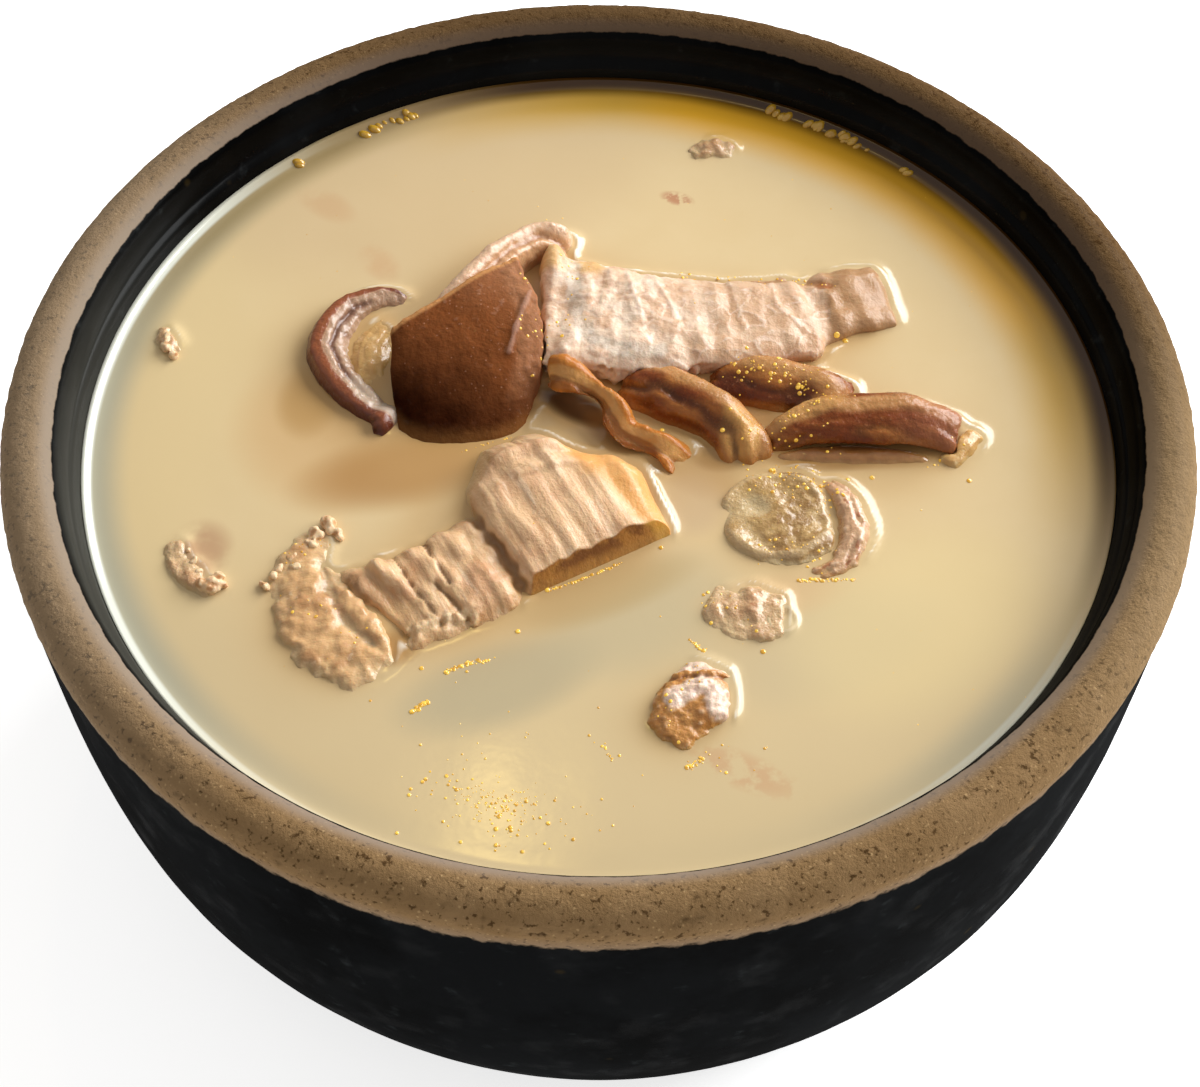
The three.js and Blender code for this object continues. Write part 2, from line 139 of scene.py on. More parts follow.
# ---- The pot ------------------------------------------------------------------------------------
# A thrown stoneware pot. Black glaze covers it inside and out up to the lip, which is bare brown
# clay: gritty on top, with a smoother bevel where it slopes to the broth. Sizes are in mm from
# here on, SOUP is the level of the broth, and lines run through points (x, y) on the plan.
METRE = 1000
POT_RADIUS = 85
SOUP = 73.5
LIP_MIDDLE = 81.2
LIP_BASE = 80.2
LIP_HALF_WIDTH = 4.2
LIP_HALF_HEIGHT = 3.8
OUTER_WALL = [(65, 0), (71.8, 2.6), (77.2, 14.6), (82.5, 31), (84.5, 48), (85, 64), (85.1, 77.2)]
INNER_WALL = [(76.5, 77.6), (75, SOUP), (73.6, 52), (70.4, 30), (63, 15.5), (49, 10)]
POT_SIDES = 720
WALL_STEPS = 4
LIP_RINGS = 30
GRIT_MM = 0.17


class Value:
    """A shader socket that can stand in a sum: arithmetic on it adds the Math nodes needed."""

    def __init__(self, recipe, socket):
        self.recipe = recipe
        self.socket = socket

    def reckon(self, operation, first, second=0.0):
        return self.recipe.node("ShaderNodeMath", {"operation": operation}, {0: first, 1: second})

    def __add__(self, other):
        return self.reckon("ADD", self, other)

    def __sub__(self, other):
        return self.reckon("SUBTRACT", self, other)

    def __mul__(self, other):
        return self.reckon("MULTIPLY", self, other)

    def __truediv__(self, other):
        return self.reckon("DIVIDE", self, other)

    def __pow__(self, other):
        return self.reckon("POWER", self, other)

    def __rsub__(self, other):
        return self.reckon("SUBTRACT", other, self)

    __radd__ = __add__
    __rmul__ = __mul__


class Recipe:
    """One finish: a Principled surface, and the nodes that make its colour and grain."""

    def __init__(self, name):
        self.material = bpy.data.materials.new(name)
        self.material.use_nodes = True
        self.tree = self.material.node_tree
        self.skin = self.tree.nodes["Principled BSDF"]
        self.place = self.node("ShaderNodeTexCoord", out="Object")
        parts = self.node("ShaderNodeSeparateXYZ", {}, {0: self.place}, out=None)
        self.x, self.y, self.z = (Value(self, socket) * METRE for socket in parts.outputs)

    def node(self, kind, settings=None, inputs=None, out=0):
        """Adds a node: its settings first, then the values or links of its sockets."""
        made = self.tree.nodes.new(kind)
        for setting, value in (settings or {}).items():
            setattr(made, setting, value)
        for name, value in (inputs or {}).items():
            self.feed(made.inputs[name], value)
        return made if out is None else Value(self, made.outputs[out])

    def feed(self, socket, value):
        """Links a value to a socket, or sets it there; a colour is as on a screen, 0 to 255."""
        if isinstance(value, Value):
            self.tree.links.new(value.socket, socket)
        elif isinstance(value, tuple) and socket.type == "RGBA":
            socket.default_value = (*as_light(value), 1)
        else:
            socket.default_value = value

    def painted(self, name):
        """A number painted on the piece's own points."""
        return self.node("ShaderNodeAttribute", {"attribute_name": name}, out="Fac")

    def turned(self, degrees, stretch):
        """Object coordinates turned about Z, then stretched, for a pattern that runs one way."""
        about = {"Vector": self.place, "Rotation": (0, 0, -math.radians(degrees))}
        kind = {"vector_type": "POINT"}
        level = self.node("ShaderNodeMapping", kind, about)
        return self.node("ShaderNodeMapping", kind, {"Vector": level, "Scale": stretch})

    def cloud(self, size_mm, where=None, detail=3.0, rough=0.55):
        """Soft noise around 0.5 whose blotches are about size_mm across."""
        values = {"Vector": where or self.place, "Scale": METRE / size_mm}
        values.update({"Detail": detail, "Roughness": rough})
        return self.node("ShaderNodeTexNoise", {}, values)

    def grains(self, size_mm):
        """Distance from the middle of the nearest grain, about 0 to 1."""
        return self.node("ShaderNodeTexVoronoi", {}, {"Vector": self.place, "Scale": METRE / size_mm})

    def step(self, value, low, high):
        """0 at low, 1 at high and smooth between; low may be the larger."""
        turned = low > high
        kind = {"interpolation_type": "SMOOTHSTEP", "clamp": True}
        ends = {"From Min": min(low, high), "From Max": max(low, high)}
        ends.update({"To Min": 1.0 if turned else 0.0, "To Max": 0.0 if turned else 1.0})
        return self.node("ShaderNodeMapRange", kind, {"Value": value, **ends})

    def flecks(self, size_mm, low, high, detail=3.0):
        """1 in the blotches of a cloud that pass high, 0 in those under low."""
        return self.step(self.cloud(size_mm, detail=detail), low, high)

    def awash(self, high, low, uneven=None):
        """1 where the piece is less than low mm over the broth, 0 where it is more than high."""
        height = self.z if uneven is None else self.z + uneven
        return self.step(height, SOUP + high, SOUP + low)

    def spot(self, x, y, half_long, half_wide, turn=0.0, soft=0.5):
        """1 in the middle of a soft oval on the plan, 0 outside it; sizes in mm."""
        c, s = math.cos(math.radians(turn)), math.sin(math.radians(turn))
        long = (self.x * c + self.y * s - (x * c + y * s)) / half_long
        wide = (self.y * c - self.x * s - (y * c - x * s)) / half_wide
        return self.step(long * long + wide * wide, 1 + soft, 1 - soft)

    def blend(self, first, second, share):
        """first where share is 0 and second where it is 1."""
        kind = {"data_type": "RGBA", "blend_type": "MIX", "clamp_factor": True}
        return self.node("ShaderNodeMix", kind, {0: share, 6: first, 7: second}, out=2)

    def layer(self, base, *coats):
        """Lays each (colour, share) over the base in turn."""
        for color, share in coats:
            base = self.blend(base, color, share)
        return base

    def bump(self, height, depth_mm):
        """A normal that makes height, from 0 to 1, look depth_mm deep."""
        values = {"Height": height, "Strength": 1.0, "Distance": depth_mm * MM}
        return self.node("ShaderNodeBump", {}, values)

    def finish(self, **sockets):
        """Sets the Principled surface's sockets: base_color is Base Color, and so on."""
        for name, value in sockets.items():
            words = " ".join(word.capitalize() for word in name.split("_"))
            self.feed(self.skin.inputs[words.replace("Ior", "IOR")], value)


def as_light(color):
    """A colour as seen on a screen, 0 to 255, as light: the standard curve, straight up to 10."""
    return tuple(((c / 255 + 0.055) / 1.055) ** 2.4 if c > 10 else c / 3294.6 for c in color)


def pick(*pieces):
    """Deselects everything, then selects these; the first is the active one."""
    bpy.ops.object.select_all(action="DESELECT")
    for piece in pieces:
        piece.select_set(True)
    bpy.context.view_layer.objects.active = pieces[0]


def between(p, q, r, s, t):
    """The smooth value on the way t from q to r, where p comes before them and s after."""
    square = 2 * p - 5 * q + 4 * r - s
    cube = 3 * q - p - 3 * r + s
    return 0.5 * (2 * q + (r - p) * t + square * t**2 + cube * t**3)


def smooth_line(points):
    """A smooth line through the points, with WALL_STEPS steps from each to the next."""
    ends = [points[0], *points, points[-1]]
    line = []
    for four in zip(ends, ends[1:], ends[2:], ends[3:]):
        for step in range(WALL_STEPS):
            line.append(tuple(between(*values, step / WALL_STEPS) for values in zip(*four)))
    return [*line, tuple(points[-1])]


def raise_rings(rings):
    """Extrudes the selected ring, which is the first (radius, height), through the others."""
    for (old_radius, old_height), (radius, height) in zip(rings, rings[1:]):
        rise = {"value": (0, 0, (height - old_height) * MM)}
        bpy.ops.mesh.extrude_region_move(TRANSFORM_OT_translate=rise)
        widen = radius / old_radius
        bpy.ops.transform.resize(value=(widen, widen, 1), center_override=(0, 0, height * MM))


def round_off():
    """Turns the edited form's faces outwards, leaves edit mode and smooths it."""
    bpy.ops.mesh.select_all(action="SELECT")
    bpy.ops.mesh.normals_make_consistent(inside=False)
    bpy.ops.object.mode_set(mode="OBJECT")
    bpy.ops.object.shade_smooth()


def ease(low, high, value):
    """0 at low, 1 at high and smooth between; low may be the larger."""
    t = max(0.0, min(1.0, (value - low) / (high - low)))
    return t * t * (3 - 2 * t)


def grain(point, size, seed=0.0):
    """Smooth noise from -1 to 1 at a point in mm, with blotches about size mm across."""
    return noise.noise(Vector((point[0] / size + seed, point[1] / size, point[2] / size - seed)))


def write_down(piece, notes, rows):
    """Paints a row of numbers on each point of a piece, one for each of the notes."""
    for note, numbers in zip(notes, zip(*rows)):
        piece.data.attributes.new(note, "FLOAT", "POINT").data.foreach_set("value", numbers)
    piece.data.update()


def carve(piece, form, notes=()):
    """Moves each point out along its normal, and paints numbers on it.

    form(point, normal) gives the distance in mm and then one number for each of the notes.
    The distance itself is painted as relief."""
    points = piece.data.vertices
    normals = [vertex.normal.copy() for vertex in points]
    made = [form(vertex.co / MM, normal) for vertex, normal in zip(points, normals)]
    for vertex, normal, numbers in zip(points, normals, made):
        vertex.co += normal * numbers[0] * MM
    write_down(piece, ("relief", *notes), made)


lip = []
for step in range(LIP_RINGS + 1):
    turn = math.pi * step / LIP_RINGS
    out, up = LIP_HALF_WIDTH * math.cos(turn), LIP_HALF_HEIGHT * math.sin(turn)
    lip.append((LIP_MIDDLE + out, LIP_BASE + up))
pot_rings = smooth_line(OUTER_WALL) + lip + smooth_line(INNER_WALL)
foot_radius, foot_height = pot_rings[0]
bpy.ops.object.select_all(action="DESELECT")
bpy.ops.mesh.primitive_circle_add(
    vertices=POT_SIDES, radius=foot_radius * MM, location=(0, 0, foot_height * MM), fill_type="NGON"
)
pot = bpy.context.object
pot.name = "stoneware_pot"
bpy.ops.object.transform_apply(location=True)
bpy.ops.object.mode_set(mode="EDIT")
bpy.ops.mesh.select_all(action="SELECT")
raise_rings(pot_rings)
round_off()


def clay_form(point, normal):
    """The bare clay is pitted and grainy, its bevel smoother, and the glazed wall faintly uneven."""
    radius = math.hypot(point.x, point.y)
    bare = ease(76.4, 78, point.z) * ease(77, 78.4, radius)
    rough = bare * ease(78, 80.4, radius)
    grains = 0.6 * grain(point, 0.8, 1) + 0.5 * grain(point, 1.7, 4) + 0.3 * grain(point, 5, 3)
    pits = -1.5 * max(0.0, grain(point, 1.2, 9) - 0.3)
    wall = 0.3 * grain(point, 14, 2) + 0.12 * grain(point, 3, 2)
    worn = -0.5 - 0.5 * bare
    return GRIT_MM * (rough * (grains + pits) + (1 - rough) * wall + worn), bare, rough


carve(pot, clay_form, ("bare", "rough"))

clay = Recipe("glazed_stoneware")
radius = (clay.x * clay.x + clay.y * clay.y) ** 0.5
ragged = clay.cloud(2.4, detail=4) * 1.2 - 0.6
bare = clay.step(clay.painted("bare") + ragged * 0.5, 0.42, 0.6)
rough = clay.painted("rough")
relief = clay.painted("relief")
back_right = (clay.x * 0.5 + clay.y * 0.86) / POT_RADIUS
# Painted shade: the lip is painted darker towards the back, on its far side.
painted_far_shade = clay.step(back_right, -0.1, 0.75)
sand = clay.step(clay.grains(0.9) + clay.cloud(0.5, detail=2) * 0.5, 0.5, 0.3)
pits = clay.step(clay.cloud(0.85, rough=0.6), 0.56, 0.68)
clay_tone = clay.layer(
    clay.blend((126, 97, 62), (156, 126, 90), clay.cloud(7, detail=4)),
    ((188, 156, 112), sand * 0.6),
    ((62, 40, 18), pits * 0.8),
    # Painted shade in the pits and hollows of the bare clay.
    ((52, 34, 18), clay.step(relief, -0.2, -0.36) * 0.7),
    ((142, 128, 116), (1 - rough) * 0.75),
    # Painted light: the lip is lighter and greyer on the left.
    ((150, 136, 118), clay.step(clay.x, -40, -80) * 0.4),
    # Painted shade on the far side of the lip.
    ((64, 42, 20), painted_far_shade * 0.7),
    # Painted light: the lip is lighter on the right, towards the front.
    ((150, 126, 94), clay.step(clay.x, 50, 84) * clay.step(clay.y, 30, -20) * 0.6),
)
# The glaze is darker and lighter in patches: partly brush marks, partly painted reflections.
brush_marks_and_reflections = clay.step(clay.cloud(30, detail=6, rough=0.62), 0.42, 0.6)
glaze_tone = clay.layer(
    clay.blend((13, 14, 15), (5, 5, 5), brush_marks_and_reflections),
    ((52, 56, 57), clay.flecks(3.5, 0.6, 0.85, 5) * 0.5),
    ((48, 38, 18), clay.step(clay.grains(13), 0.08, 0.04) * 0.5),
)
inside = clay.step(radius, 78, 76.4) * clay.step(clay.z, SOUP - 4, SOUP)
# Painted reflection of the window: the inner wall just above the broth is grey on the left and front.
glaze_tone = clay.blend(glaze_tone, (58, 57, 52), clay.step(back_right, 0.1, -0.7) * inside)
grit = clay.cloud(0.6, detail=4, rough=0.7) * rough + clay.cloud(1.6) * 0.12
clay.finish(
    base_color=clay.blend(glaze_tone, clay_tone, bare),
    roughness=bare * 0.5 + 0.3,
    specular_ior_level=0.0,
    coat_weight=inside * 0.1 + (1 - bare) * clay.flecks(9, 0.5, 0.75, 5) * 0.03 + 0.02,
    coat_roughness=0.2,
    normal=clay.bump(grit, 0.3),
)
pot.data.materials.append(clay.material)
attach(pot, "root")
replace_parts(pot, "pot")

# ---- The pork slab ------------------------------------------------------------------------------
# A thick slice of boiled pork in front, cut across the grain and torn into two blocks. The left
# one is frayed in front. The right one has a smooth cut face there, and ends in soft amber fat.
CELL_MM = 0.4
FINE_CELL_MM = 0.32
WELD = 1e-6
SLAB_MIDDLE = (-11, -20)
SLAB_TURN = 28
SLAB_COS = 0.88
SLAB_SIN = 0.47
SLAB_TEAR = [(-19.6, -16), (-15.2, -22.2), (-9.4, -31.6)]
SLAB_CUT_PLACE = Vector((8.0, -18.8, SOUP + 4.1))
SLAB_CUT_FACING = Vector((0.42, -0.77, 0.48))
SLAB_FRAY = [(-26.4, -38.6), (-24, -36.8), (-20.4, -35.6), (-16.8, -35)]
SLAB_SPLITS = [
    [(-29.4, -23.4), (-26, -29.4), (-21.2, -36)],
    [(-25.2, -21.4), (-22, -27), (-20.4, -30)],
    [(-22.4, -29.8), (-17, -36.2)],
    [(-33, -27.4), (-30.2, -32.6), (-26.4, -38.2)],
]


def wet(film, film_rough, glow, green, blue, depth_mm=1.0):
    """The film of broth on boiled meat, and the light that glows through it: red goes depth_mm
    deep, and green and blue a share of that."""
    return {
        "coat_weight": film,
        "coat_roughness": film_rough,
        "subsurface_weight": glow,
        "subsurface_radius": (1.0, green, blue),
        "subsurface_scale": depth_mm * MM,
    }


def fuse_and_carve(piece, form, notes, cell, soften):
    """Closes a piece into small even cells, eases it, and then carves it."""
    closed = piece.modifiers.new("close", "REMESH")
    closed.mode = "VOXEL"
    closed.voxel_size = cell * MM
    eased = piece.modifiers.new("ease", "SMOOTH")
    eased.iterations = soften
    for modifier in list(piece.modifiers):
        bpy.ops.object.modifier_apply(modifier=modifier.name)
    carve(piece, form, notes)
    bpy.ops.object.shade_smooth()


def flesh(node, name, form, notes=(), cell=CELL_MM, soften=3):
    """A piece of meat: a carved copy of its CAD node, which it replaces."""
    piece = bpy.data.objects.new(name, frame["nodes"][node].data.copy())
    bpy.context.scene.collection.objects.link(piece)
    piece.data.materials.clear()
    pick(piece)
    bpy.ops.object.mode_set(mode="EDIT")
    bpy.ops.mesh.select_all(action="SELECT")
    bpy.ops.mesh.remove_doubles(threshold=WELD)
    bpy.ops.object.mode_set(mode="OBJECT")
    fuse_and_carve(piece, form, notes, cell, soften)
    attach(piece, "root")
    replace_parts(piece, node)
    return piece


def along(point, origin, degrees):
    """Where a point lies along and across a line through origin at some degrees from +X."""
    turn = math.radians(degrees)
    dx, dy = point.x - origin[0], point.y - origin[1]
    return dx * math.cos(turn) + dy * math.sin(turn), dy * math.cos(turn) - dx * math.sin(turn)


def course(point, line):
    """How far along a line a point lies on the plan, 0 to 1, and how far to its left in mm."""
    best = (math.inf, 0, 0)
    passed = 0.0
    for (ax, ay), (bx, by) in zip(line, line[1:]):
        length = math.hypot(bx - ax, by - ay)
        tx, ty = (bx - ax) / length, (by - ay) / length
        dx, dy = point.x - ax, point.y - ay
        run = max(0.0, min(length, dx * tx + dy * ty))
        away = math.hypot(dx - run * tx, dy - run * ty)
        if away < best[0]:
            side = 1 if tx * dy - ty * dx > 0 else -1
            best = (away, passed + run, side * away)
        passed += length
    return best[1] / passed, best[2]


def bell(distance, width):
    """1 at a line and 0 a few widths away from it."""
    return math.exp(-((distance / width) ** 2))


def reach(point, line):
    """How far a point is from a line on the plan, in mm."""
    return abs(course(point, line)[1])


def fibres(u, v, z, pitch, seed=0.0):
    """Ridges of muscle that run along v, from -1 to 1, about pitch mm apart and never straight."""
    drift = 0.9 * noise.noise(Vector((u / 9, v / 7, z / 6 + seed)))
    coarse = noise.noise(Vector(((u + drift) / pitch, v / (9 * pitch), z / 5 + seed)))
    fine = noise.noise(Vector(((u + drift) / (0.45 * pitch), v / (5 * pitch), z / 3 - seed)))
    return 0.75 * coarse + 0.35 * fine


def beyond_cut(point):
    """How far a point of the right block lies outside its smooth front side, which leans back."""
    u = along(point, SLAB_MIDDLE, SLAB_TURN)[0]
    return max(0.0, (point - SLAB_CUT_PLACE).dot(SLAB_CUT_FACING)) * ease(-4.6, -3.4, u)


def slab_form(point, normal):
    """Fibres across the slice, the tear and shorter splits, a frayed left block, a back edge that
    swells and dips under the broth, and a smooth fat end."""
    u, v = along(point, SLAB_MIDDLE, SLAB_TURN)
    fat = ease(11.6, 14.4, u + 0.28 * v + 1.4 * grain(point, 4, 2))
    torn = bell(reach(point, SLAB_TEAR) + 0.5 * grain(point, 2, 8), 0.75) * ease(-0.4, 0.3, normal.z)
    split = max(bell(reach(point, line) + 0.5 * grain(point, 1.6, 5), 0.36) for line in SLAB_SPLITS)
    split *= ease(0, 0.5, normal.z) * (1 - fat)
    left = ease(-4, -7, u)
    side = max(ease(0, 0.25, beyond_cut(point)), ease(0.55, 0.2, normal.z) * ease(0.1, -0.4, normal.y))
    leftward = ease(-0.1, -0.8, normal.x * SLAB_COS + normal.y * SLAB_SIN)
    end = ease(-14, -17, u) * leftward * ease(-6, 3, v)
    frayed = bell(reach(point, SLAB_FRAY) + 0.8 * grain(point, 1.3, 6), 1.1)
    lean = 0.2 * fibres(u, v, point.z, 0.95) + 0.3 * left * grain(point, 2.2, 4) + 0.3 * grain(point, 5, 1)
    crags = 0.9 * max(left * side, frayed) * (grain(point, 1.7, 3) + 0.6 * grain(point, 0.8, 6))
    soft = 0.3 * grain(point, 5, 6) + 0.06 * grain(point, 1, 7)
    awash = ease(2.5, 8, v) * ease(-1, -9, u) * ease(0.2, 0.8, normal.z)
    depth = (1 - fat) * (lean * (1 - 0.5 * side) + crags) + fat * soft - 1.1 * torn - 0.5 * split + 3 * end
    backward = ease(0.1, 0.7, normal.y * SLAB_COS - normal.x * SLAB_SIN)
    depth += 2.6 * backward * ease(-3, 3, u) * ease(14, 9, u) - 1.3 * awash
    return depth, fat, max(torn, split), side, left, frayed


slab_notes = ("fat", "deep", "side", "left", "frayed")
slab = flesh("pork_slab", "boiled_pork_slab", slab_form, slab_notes, cell=FINE_CELL_MM, soften=12)
for vertex in slab.data.vertices:
    vertex.co -= SLAB_CUT_FACING * beyond_cut(vertex.co / MM) * MM
slab.data.update()

lean = Recipe("boiled_lean_pork")
across = lean.turned(SLAB_TURN, (1, 0.12, 0.5))
strands = lean.cloud(1.3, across, detail=4, rough=0.6)
bands = lean.cloud(4, across, detail=2)
blush = lean.cloud(6)
fat, deep, side, left, frayed = (lean.painted(name) for name in slab_notes)
relief = lean.painted("relief")
lean_tone = lean.layer(
    lean.blend((222, 178, 132), (231, 192, 151), bands),
    ((228, 186, 140), left * 0.75),
    ((204, 152, 112), lean.step(blush, 0.44, 0.62) * (left * 0.2 + 0.5)),
    ((240, 214, 182), lean.step(strands, 0.54, 0.68) * 0.45),
    ((186, 132, 84), lean.step(strands, 0.44, 0.32) * 0.45),
    ((222, 184, 142), lean.step(lean.cloud(0.6, across), 0.55, 0.68) * 0.5),
    ((176, 116, 70), lean.flecks(0.9, 0.64, 0.74) * 0.5),
    # Painted shade: the faces that turn to the front, the smooth cut face among them, are dark golden
    # brown.
    (lean.blend((124, 70, 18), (176, 116, 46), lean.flecks(2.4, 0.4, 0.6, 4)), side * (1 - left) * 0.95),
    ((196, 136, 66), lean.awash(2.2, 0.6) * side * (1 - left) * 0.5),
    # Painted shade in the hollows, and in the tears and splits.
    ((146, 94, 46), lean.step(relief, -0.1, -0.9) * 0.5),
    ((94, 52, 20), lean.step(deep, 0.35, 1) * 0.6),
    ((244, 214, 172), frayed * lean.flecks(1.1, 0.4, 0.52) * 0.85),
    ((220, 186, 138), lean.spot(-21, -9.5, 6, 3.4, SLAB_TURN, 0.8) * 0.7),
)
amber = lean.layer(
    lean.blend((236, 182, 118), (220, 152, 76), lean.cloud(5)),
    ((240, 204, 162), lean.flecks(2.6, 0.58, 0.7, 4) * 0.7),
    # Painted shade on the front faces of the fat.
    ((220, 164, 66), side * 0.85),
)
under = lean.awash(2.4, 0.2)
back_edge = lean.step(lean.y * SLAB_COS - lean.x * SLAB_SIN, -10.5, -5)
lean.finish(
    base_color=lean.layer(
        lean_tone,
        (amber, fat),
        ((186, 138, 76), under * 0.4),
        ((216, 184, 138), lean.awash(2.6, 0.9, lean.cloud(3) * 1.6) * back_edge * 0.9),
    ),
    roughness=lean.step(strands, 0.3, 0.7) * 0.16 + 0.3,
    specular_ior_level=0.35,
    **wet(film=0.12, film_rough=0.16, glow=0.22, green=0.45, blue=0.22, depth_mm=1.2),
    normal=lean.bump(strands * (1 - fat) * 0.7 + lean.cloud(0.5, detail=2) * 0.4, 0.26),
)
slab.data.materials.append(lean.material)

# ---- The flake beside the slab ------------------------------------------------------------------
# A flat flake that has come off the slab's left end and lies awash. Its fibres run from left to
# right, its edge is ragged, and a dark pocket parts it from the slab.
FLAKE_TURN = SLAB_TURN - 12
FLAKE_POCKET = [(-38.4, -25.8), (-36.8, -31), (-34.6, -35.4), (-30.4, -39.6)]
FLAKE_LINE = [(-39.4, -19.6), (-41.4, -27.5), (-37.2, -36.1), (-29.4, -44.6)]


def flake_form(point, normal):
    """Long shallow fibres, a ragged edge, and the pocket towards the slab."""
    u, v = along(point, SLAB_MIDDLE, FLAKE_TURN)
    pocket = bell(reach(point, FLAKE_POCKET) + 0.5 * grain(point, 1.8, 3), 1.2)
    ragged = 0.5 * ease(2.4, 4.6, reach(point, FLAKE_LINE)) * grain(point, 1.5, 7)
    pits = 0.3 * grain(point, 2.2, 5) + 0.24 * grain(point, 1, 6)
    return 0.3 * fibres(v, u, point.z, 2.2, 4) + pits + ragged - 0.9 * pocket, pocket


flake = flesh("pork_flake", "boiled_pork_flake", flake_form, ("deep",))
shred = Recipe("shredded_pork")
pocket = shred.painted("deep")
shred_grain = shred.cloud(2.4, shred.turned(SLAB_TURN + 74, (1, 0.2, 0.5)), detail=4)
shred.finish(
    base_color=shred.layer(
        shred.blend((206, 154, 98), (226, 182, 130), shred_grain),
        ((170, 114, 66), shred.flecks(5, 0.5, 0.68) * 0.6),
        ((232, 200, 160), shred.flecks(1.6, 0.6, 0.7) * 0.5),
        # Painted shade in the pocket.
        ((112, 64, 30), shred.step(pocket, 0.5, 0.98) * 0.7),
        ((214, 184, 138), shred.awash(1.6, 0.5, shred.cloud(2) * 0.8) * 0.75),
    ),
    roughness=0.34,
    **wet(film=0.25, film_rough=0.12, glow=0.2, green=0.45, blue=0.22),
    normal=shred.bump(shred_grain + shred.cloud(0.7) * 0.4, 0.3),
)
flake.data.materials.append(shred.material)

# ---- The pork slice -----------------------------------------------------------------------------
# A long thin slice of paler pork that lies over the offal. Its left and front edges are ragged
# and greyish white with fat, seams of fat cross its fibres, and its right end is a darker block.
SLICE_MIDDLE = (18, 21)
SLICE_TURN = -4
SLICE_STRIP = [(-4.6, 31), (-4.2, 26), (-3.8, 21), (-3.2, 16.4), (-0.7, 12.8), (3.6, 10.8), (9, 11)]
SLICE_SEAMS = [
    [(-3.4, 21.6), (3.2, 21.6), (8, 22.4)],
    [(3.4, 31), (4.6, 25), (6.8, 15.6)],
    [(7.6, 30), (9.4, 24), (12.8, 14.6)],
    [(12.6, 24.4), (18.4, 23.6), (24, 25.6)],
    [(19.6, 28.6), (20.8, 22), (22, 16.8)],
    [(26.4, 28.8), (27, 22), (31, 17)],
    [(36.4, 29.6), (40, 29), (43.6, 31)],
]
SLICE_BAND = [(11, 30.2), (17, 29.6), (24, 28.8), (30, 29.6), (35.4, 27.4)]


def slice_form(point, normal):
    """Broken fibres from back to front, a net of fine ridges between them, pale seams that stand
    up, a sunk band along the back, a corner that is pulled out, and torn edges."""
    u, v = along(point, SLICE_MIDDLE, SLICE_TURN)
    top = ease(0.1, 0.6, normal.z)
    seam = max(bell(reach(point, line) + 0.6 * grain(point, 2, 5), 0.4) for line in SLICE_SEAMS) * top
    strip = bell(reach(point, SLICE_STRIP) + 0.6 * grain(point, 2.4, 2), 1.5) * top
    block = ease(34.2, 35.4, point.x + 0.4 * grain(point, 2, 3))
    band = bell(reach(point, SLICE_BAND) + 0.4 * grain(point, 2.5, 4), 1.0) * top
    flap = ease(26.4, 28.4, point.y) * ease(1.5, -0.5, point.x)
    front = ease(0.4, -0.3, normal.y) * ease(0.6, 0.1, normal.z) * ease(20, 14, point.x)
    rows = 0.22 * fibres(v, u, point.z, 2.6, 7) * ease(8, 16, point.x)
    crumbly = 0.2 * ease(20, 6, point.x) * (grain(point, 1.6, 8) + 0.5 * grain(point, 0.8, 4))
    bend = 0.4 * grain(point, 4, 6)
    near, next_near = noise.voronoi(Vector((u / 5 + bend, v / 3.4 + bend, 2)))[0][:2]
    net = 1 - ease(0.02, 0.12, next_near - near)
    lean = 0.08 * fibres(u, v, point.z, 1.2, 3) + rows + crumbly + 0.1 * net * top
    lean += 0.3 * grain(point, 4, 5)
    torn = front * (0.9 * grain(point, 1.5, 9) + 0.4 * grain(point, 0.7, 2))
    smooth = 0.2 * grain(point, 3, 3)
    corner = ease(-3.5, -6, point.x) * ease(20, 31, point.y) * ease(0.3, -0.5, normal.x)
    depth = lean * (1 - 0.6 * max(strip, block, flap)) + smooth + torn
    depth += 0.18 * seam - 0.55 * band + 2.6 * corner
    return depth, max(seam, 0.8 * net), strip, block, band, flap


slice_notes = ("seam", "strip", "block", "band", "flap")
pork_slice = flesh("pork_slice", "boiled_pork_slice", slice_form, slice_notes, FINE_CELL_MM, soften=14)

pale = Recipe("pale_boiled_pork")
across = pale.turned(SLICE_TURN, (1, 0.14, 0.5))
strands = pale.cloud(1.4, across, detail=4, rough=0.6)
seam, strip, block, band, flap = (pale.painted(name) for name in slice_notes)
relief = pale.painted("relief")
milky = pale.step(strip, 0.25, 0.8)
pale_tone = pale.layer(
    pale.blend((220, 180, 147), (233, 204, 177), pale.flecks(5, 0.4, 0.6)),
    ((196, 144, 102), pale.step(strands, 0.44, 0.32) * 0.35),
    ((240, 216, 192), pale.flecks(3, 0.5, 0.62, 4) * pale.step(pale.x, 26, 12) * 0.6),
    ((202, 150, 118), pale.flecks(1.0, 0.58, 0.7) * 0.4),
    ((196, 152, 112), pale.step(pale.x + pale.cloud(4) * 8, 10, 26) * 0.6),
    ((240, 216, 196), pale.step(seam, 0.25, 0.9) * pale.flecks(2, 0.42, 0.56) * 0.5),
    # Painted shade in the hollows.
    ((176, 126, 86), pale.step(relief, -0.1, -0.5) * 0.5),
    ((166, 108, 58), pale.step(band, 0.2, 0.9) * 0.8),
    (pale.blend((164, 118, 74), (192, 147, 104), pale.cloud(3)), block * 0.9),
    ((150, 84, 34), pale.spot(34.6, 27.2, 1.4, 0.9) * 0.8),
    ((220, 172, 108), flap * 0.85),
    (pale.blend((186, 164, 142), (218, 202, 184), pale.flecks(1.6, 0.4, 0.6)), milky * 0.7),
)
pale.finish(
    base_color=pale.blend(pale_tone, (190, 150, 110), pale.awash(1.4, 0.1) * 0.5),
    roughness=pale.step(strands, 0.3, 0.7) * 0.14 + 0.3,
    specular_ior_level=0.35,
    **wet(film=0.12, film_rough=0.16, glow=0.22, green=0.5, blue=0.3, depth_mm=1.2),
    normal=pale.bump(strands * 0.3 + pale.cloud(0.6) * 0.6, 0.22),
)
pork_slice.data.materials.append(pale.material)
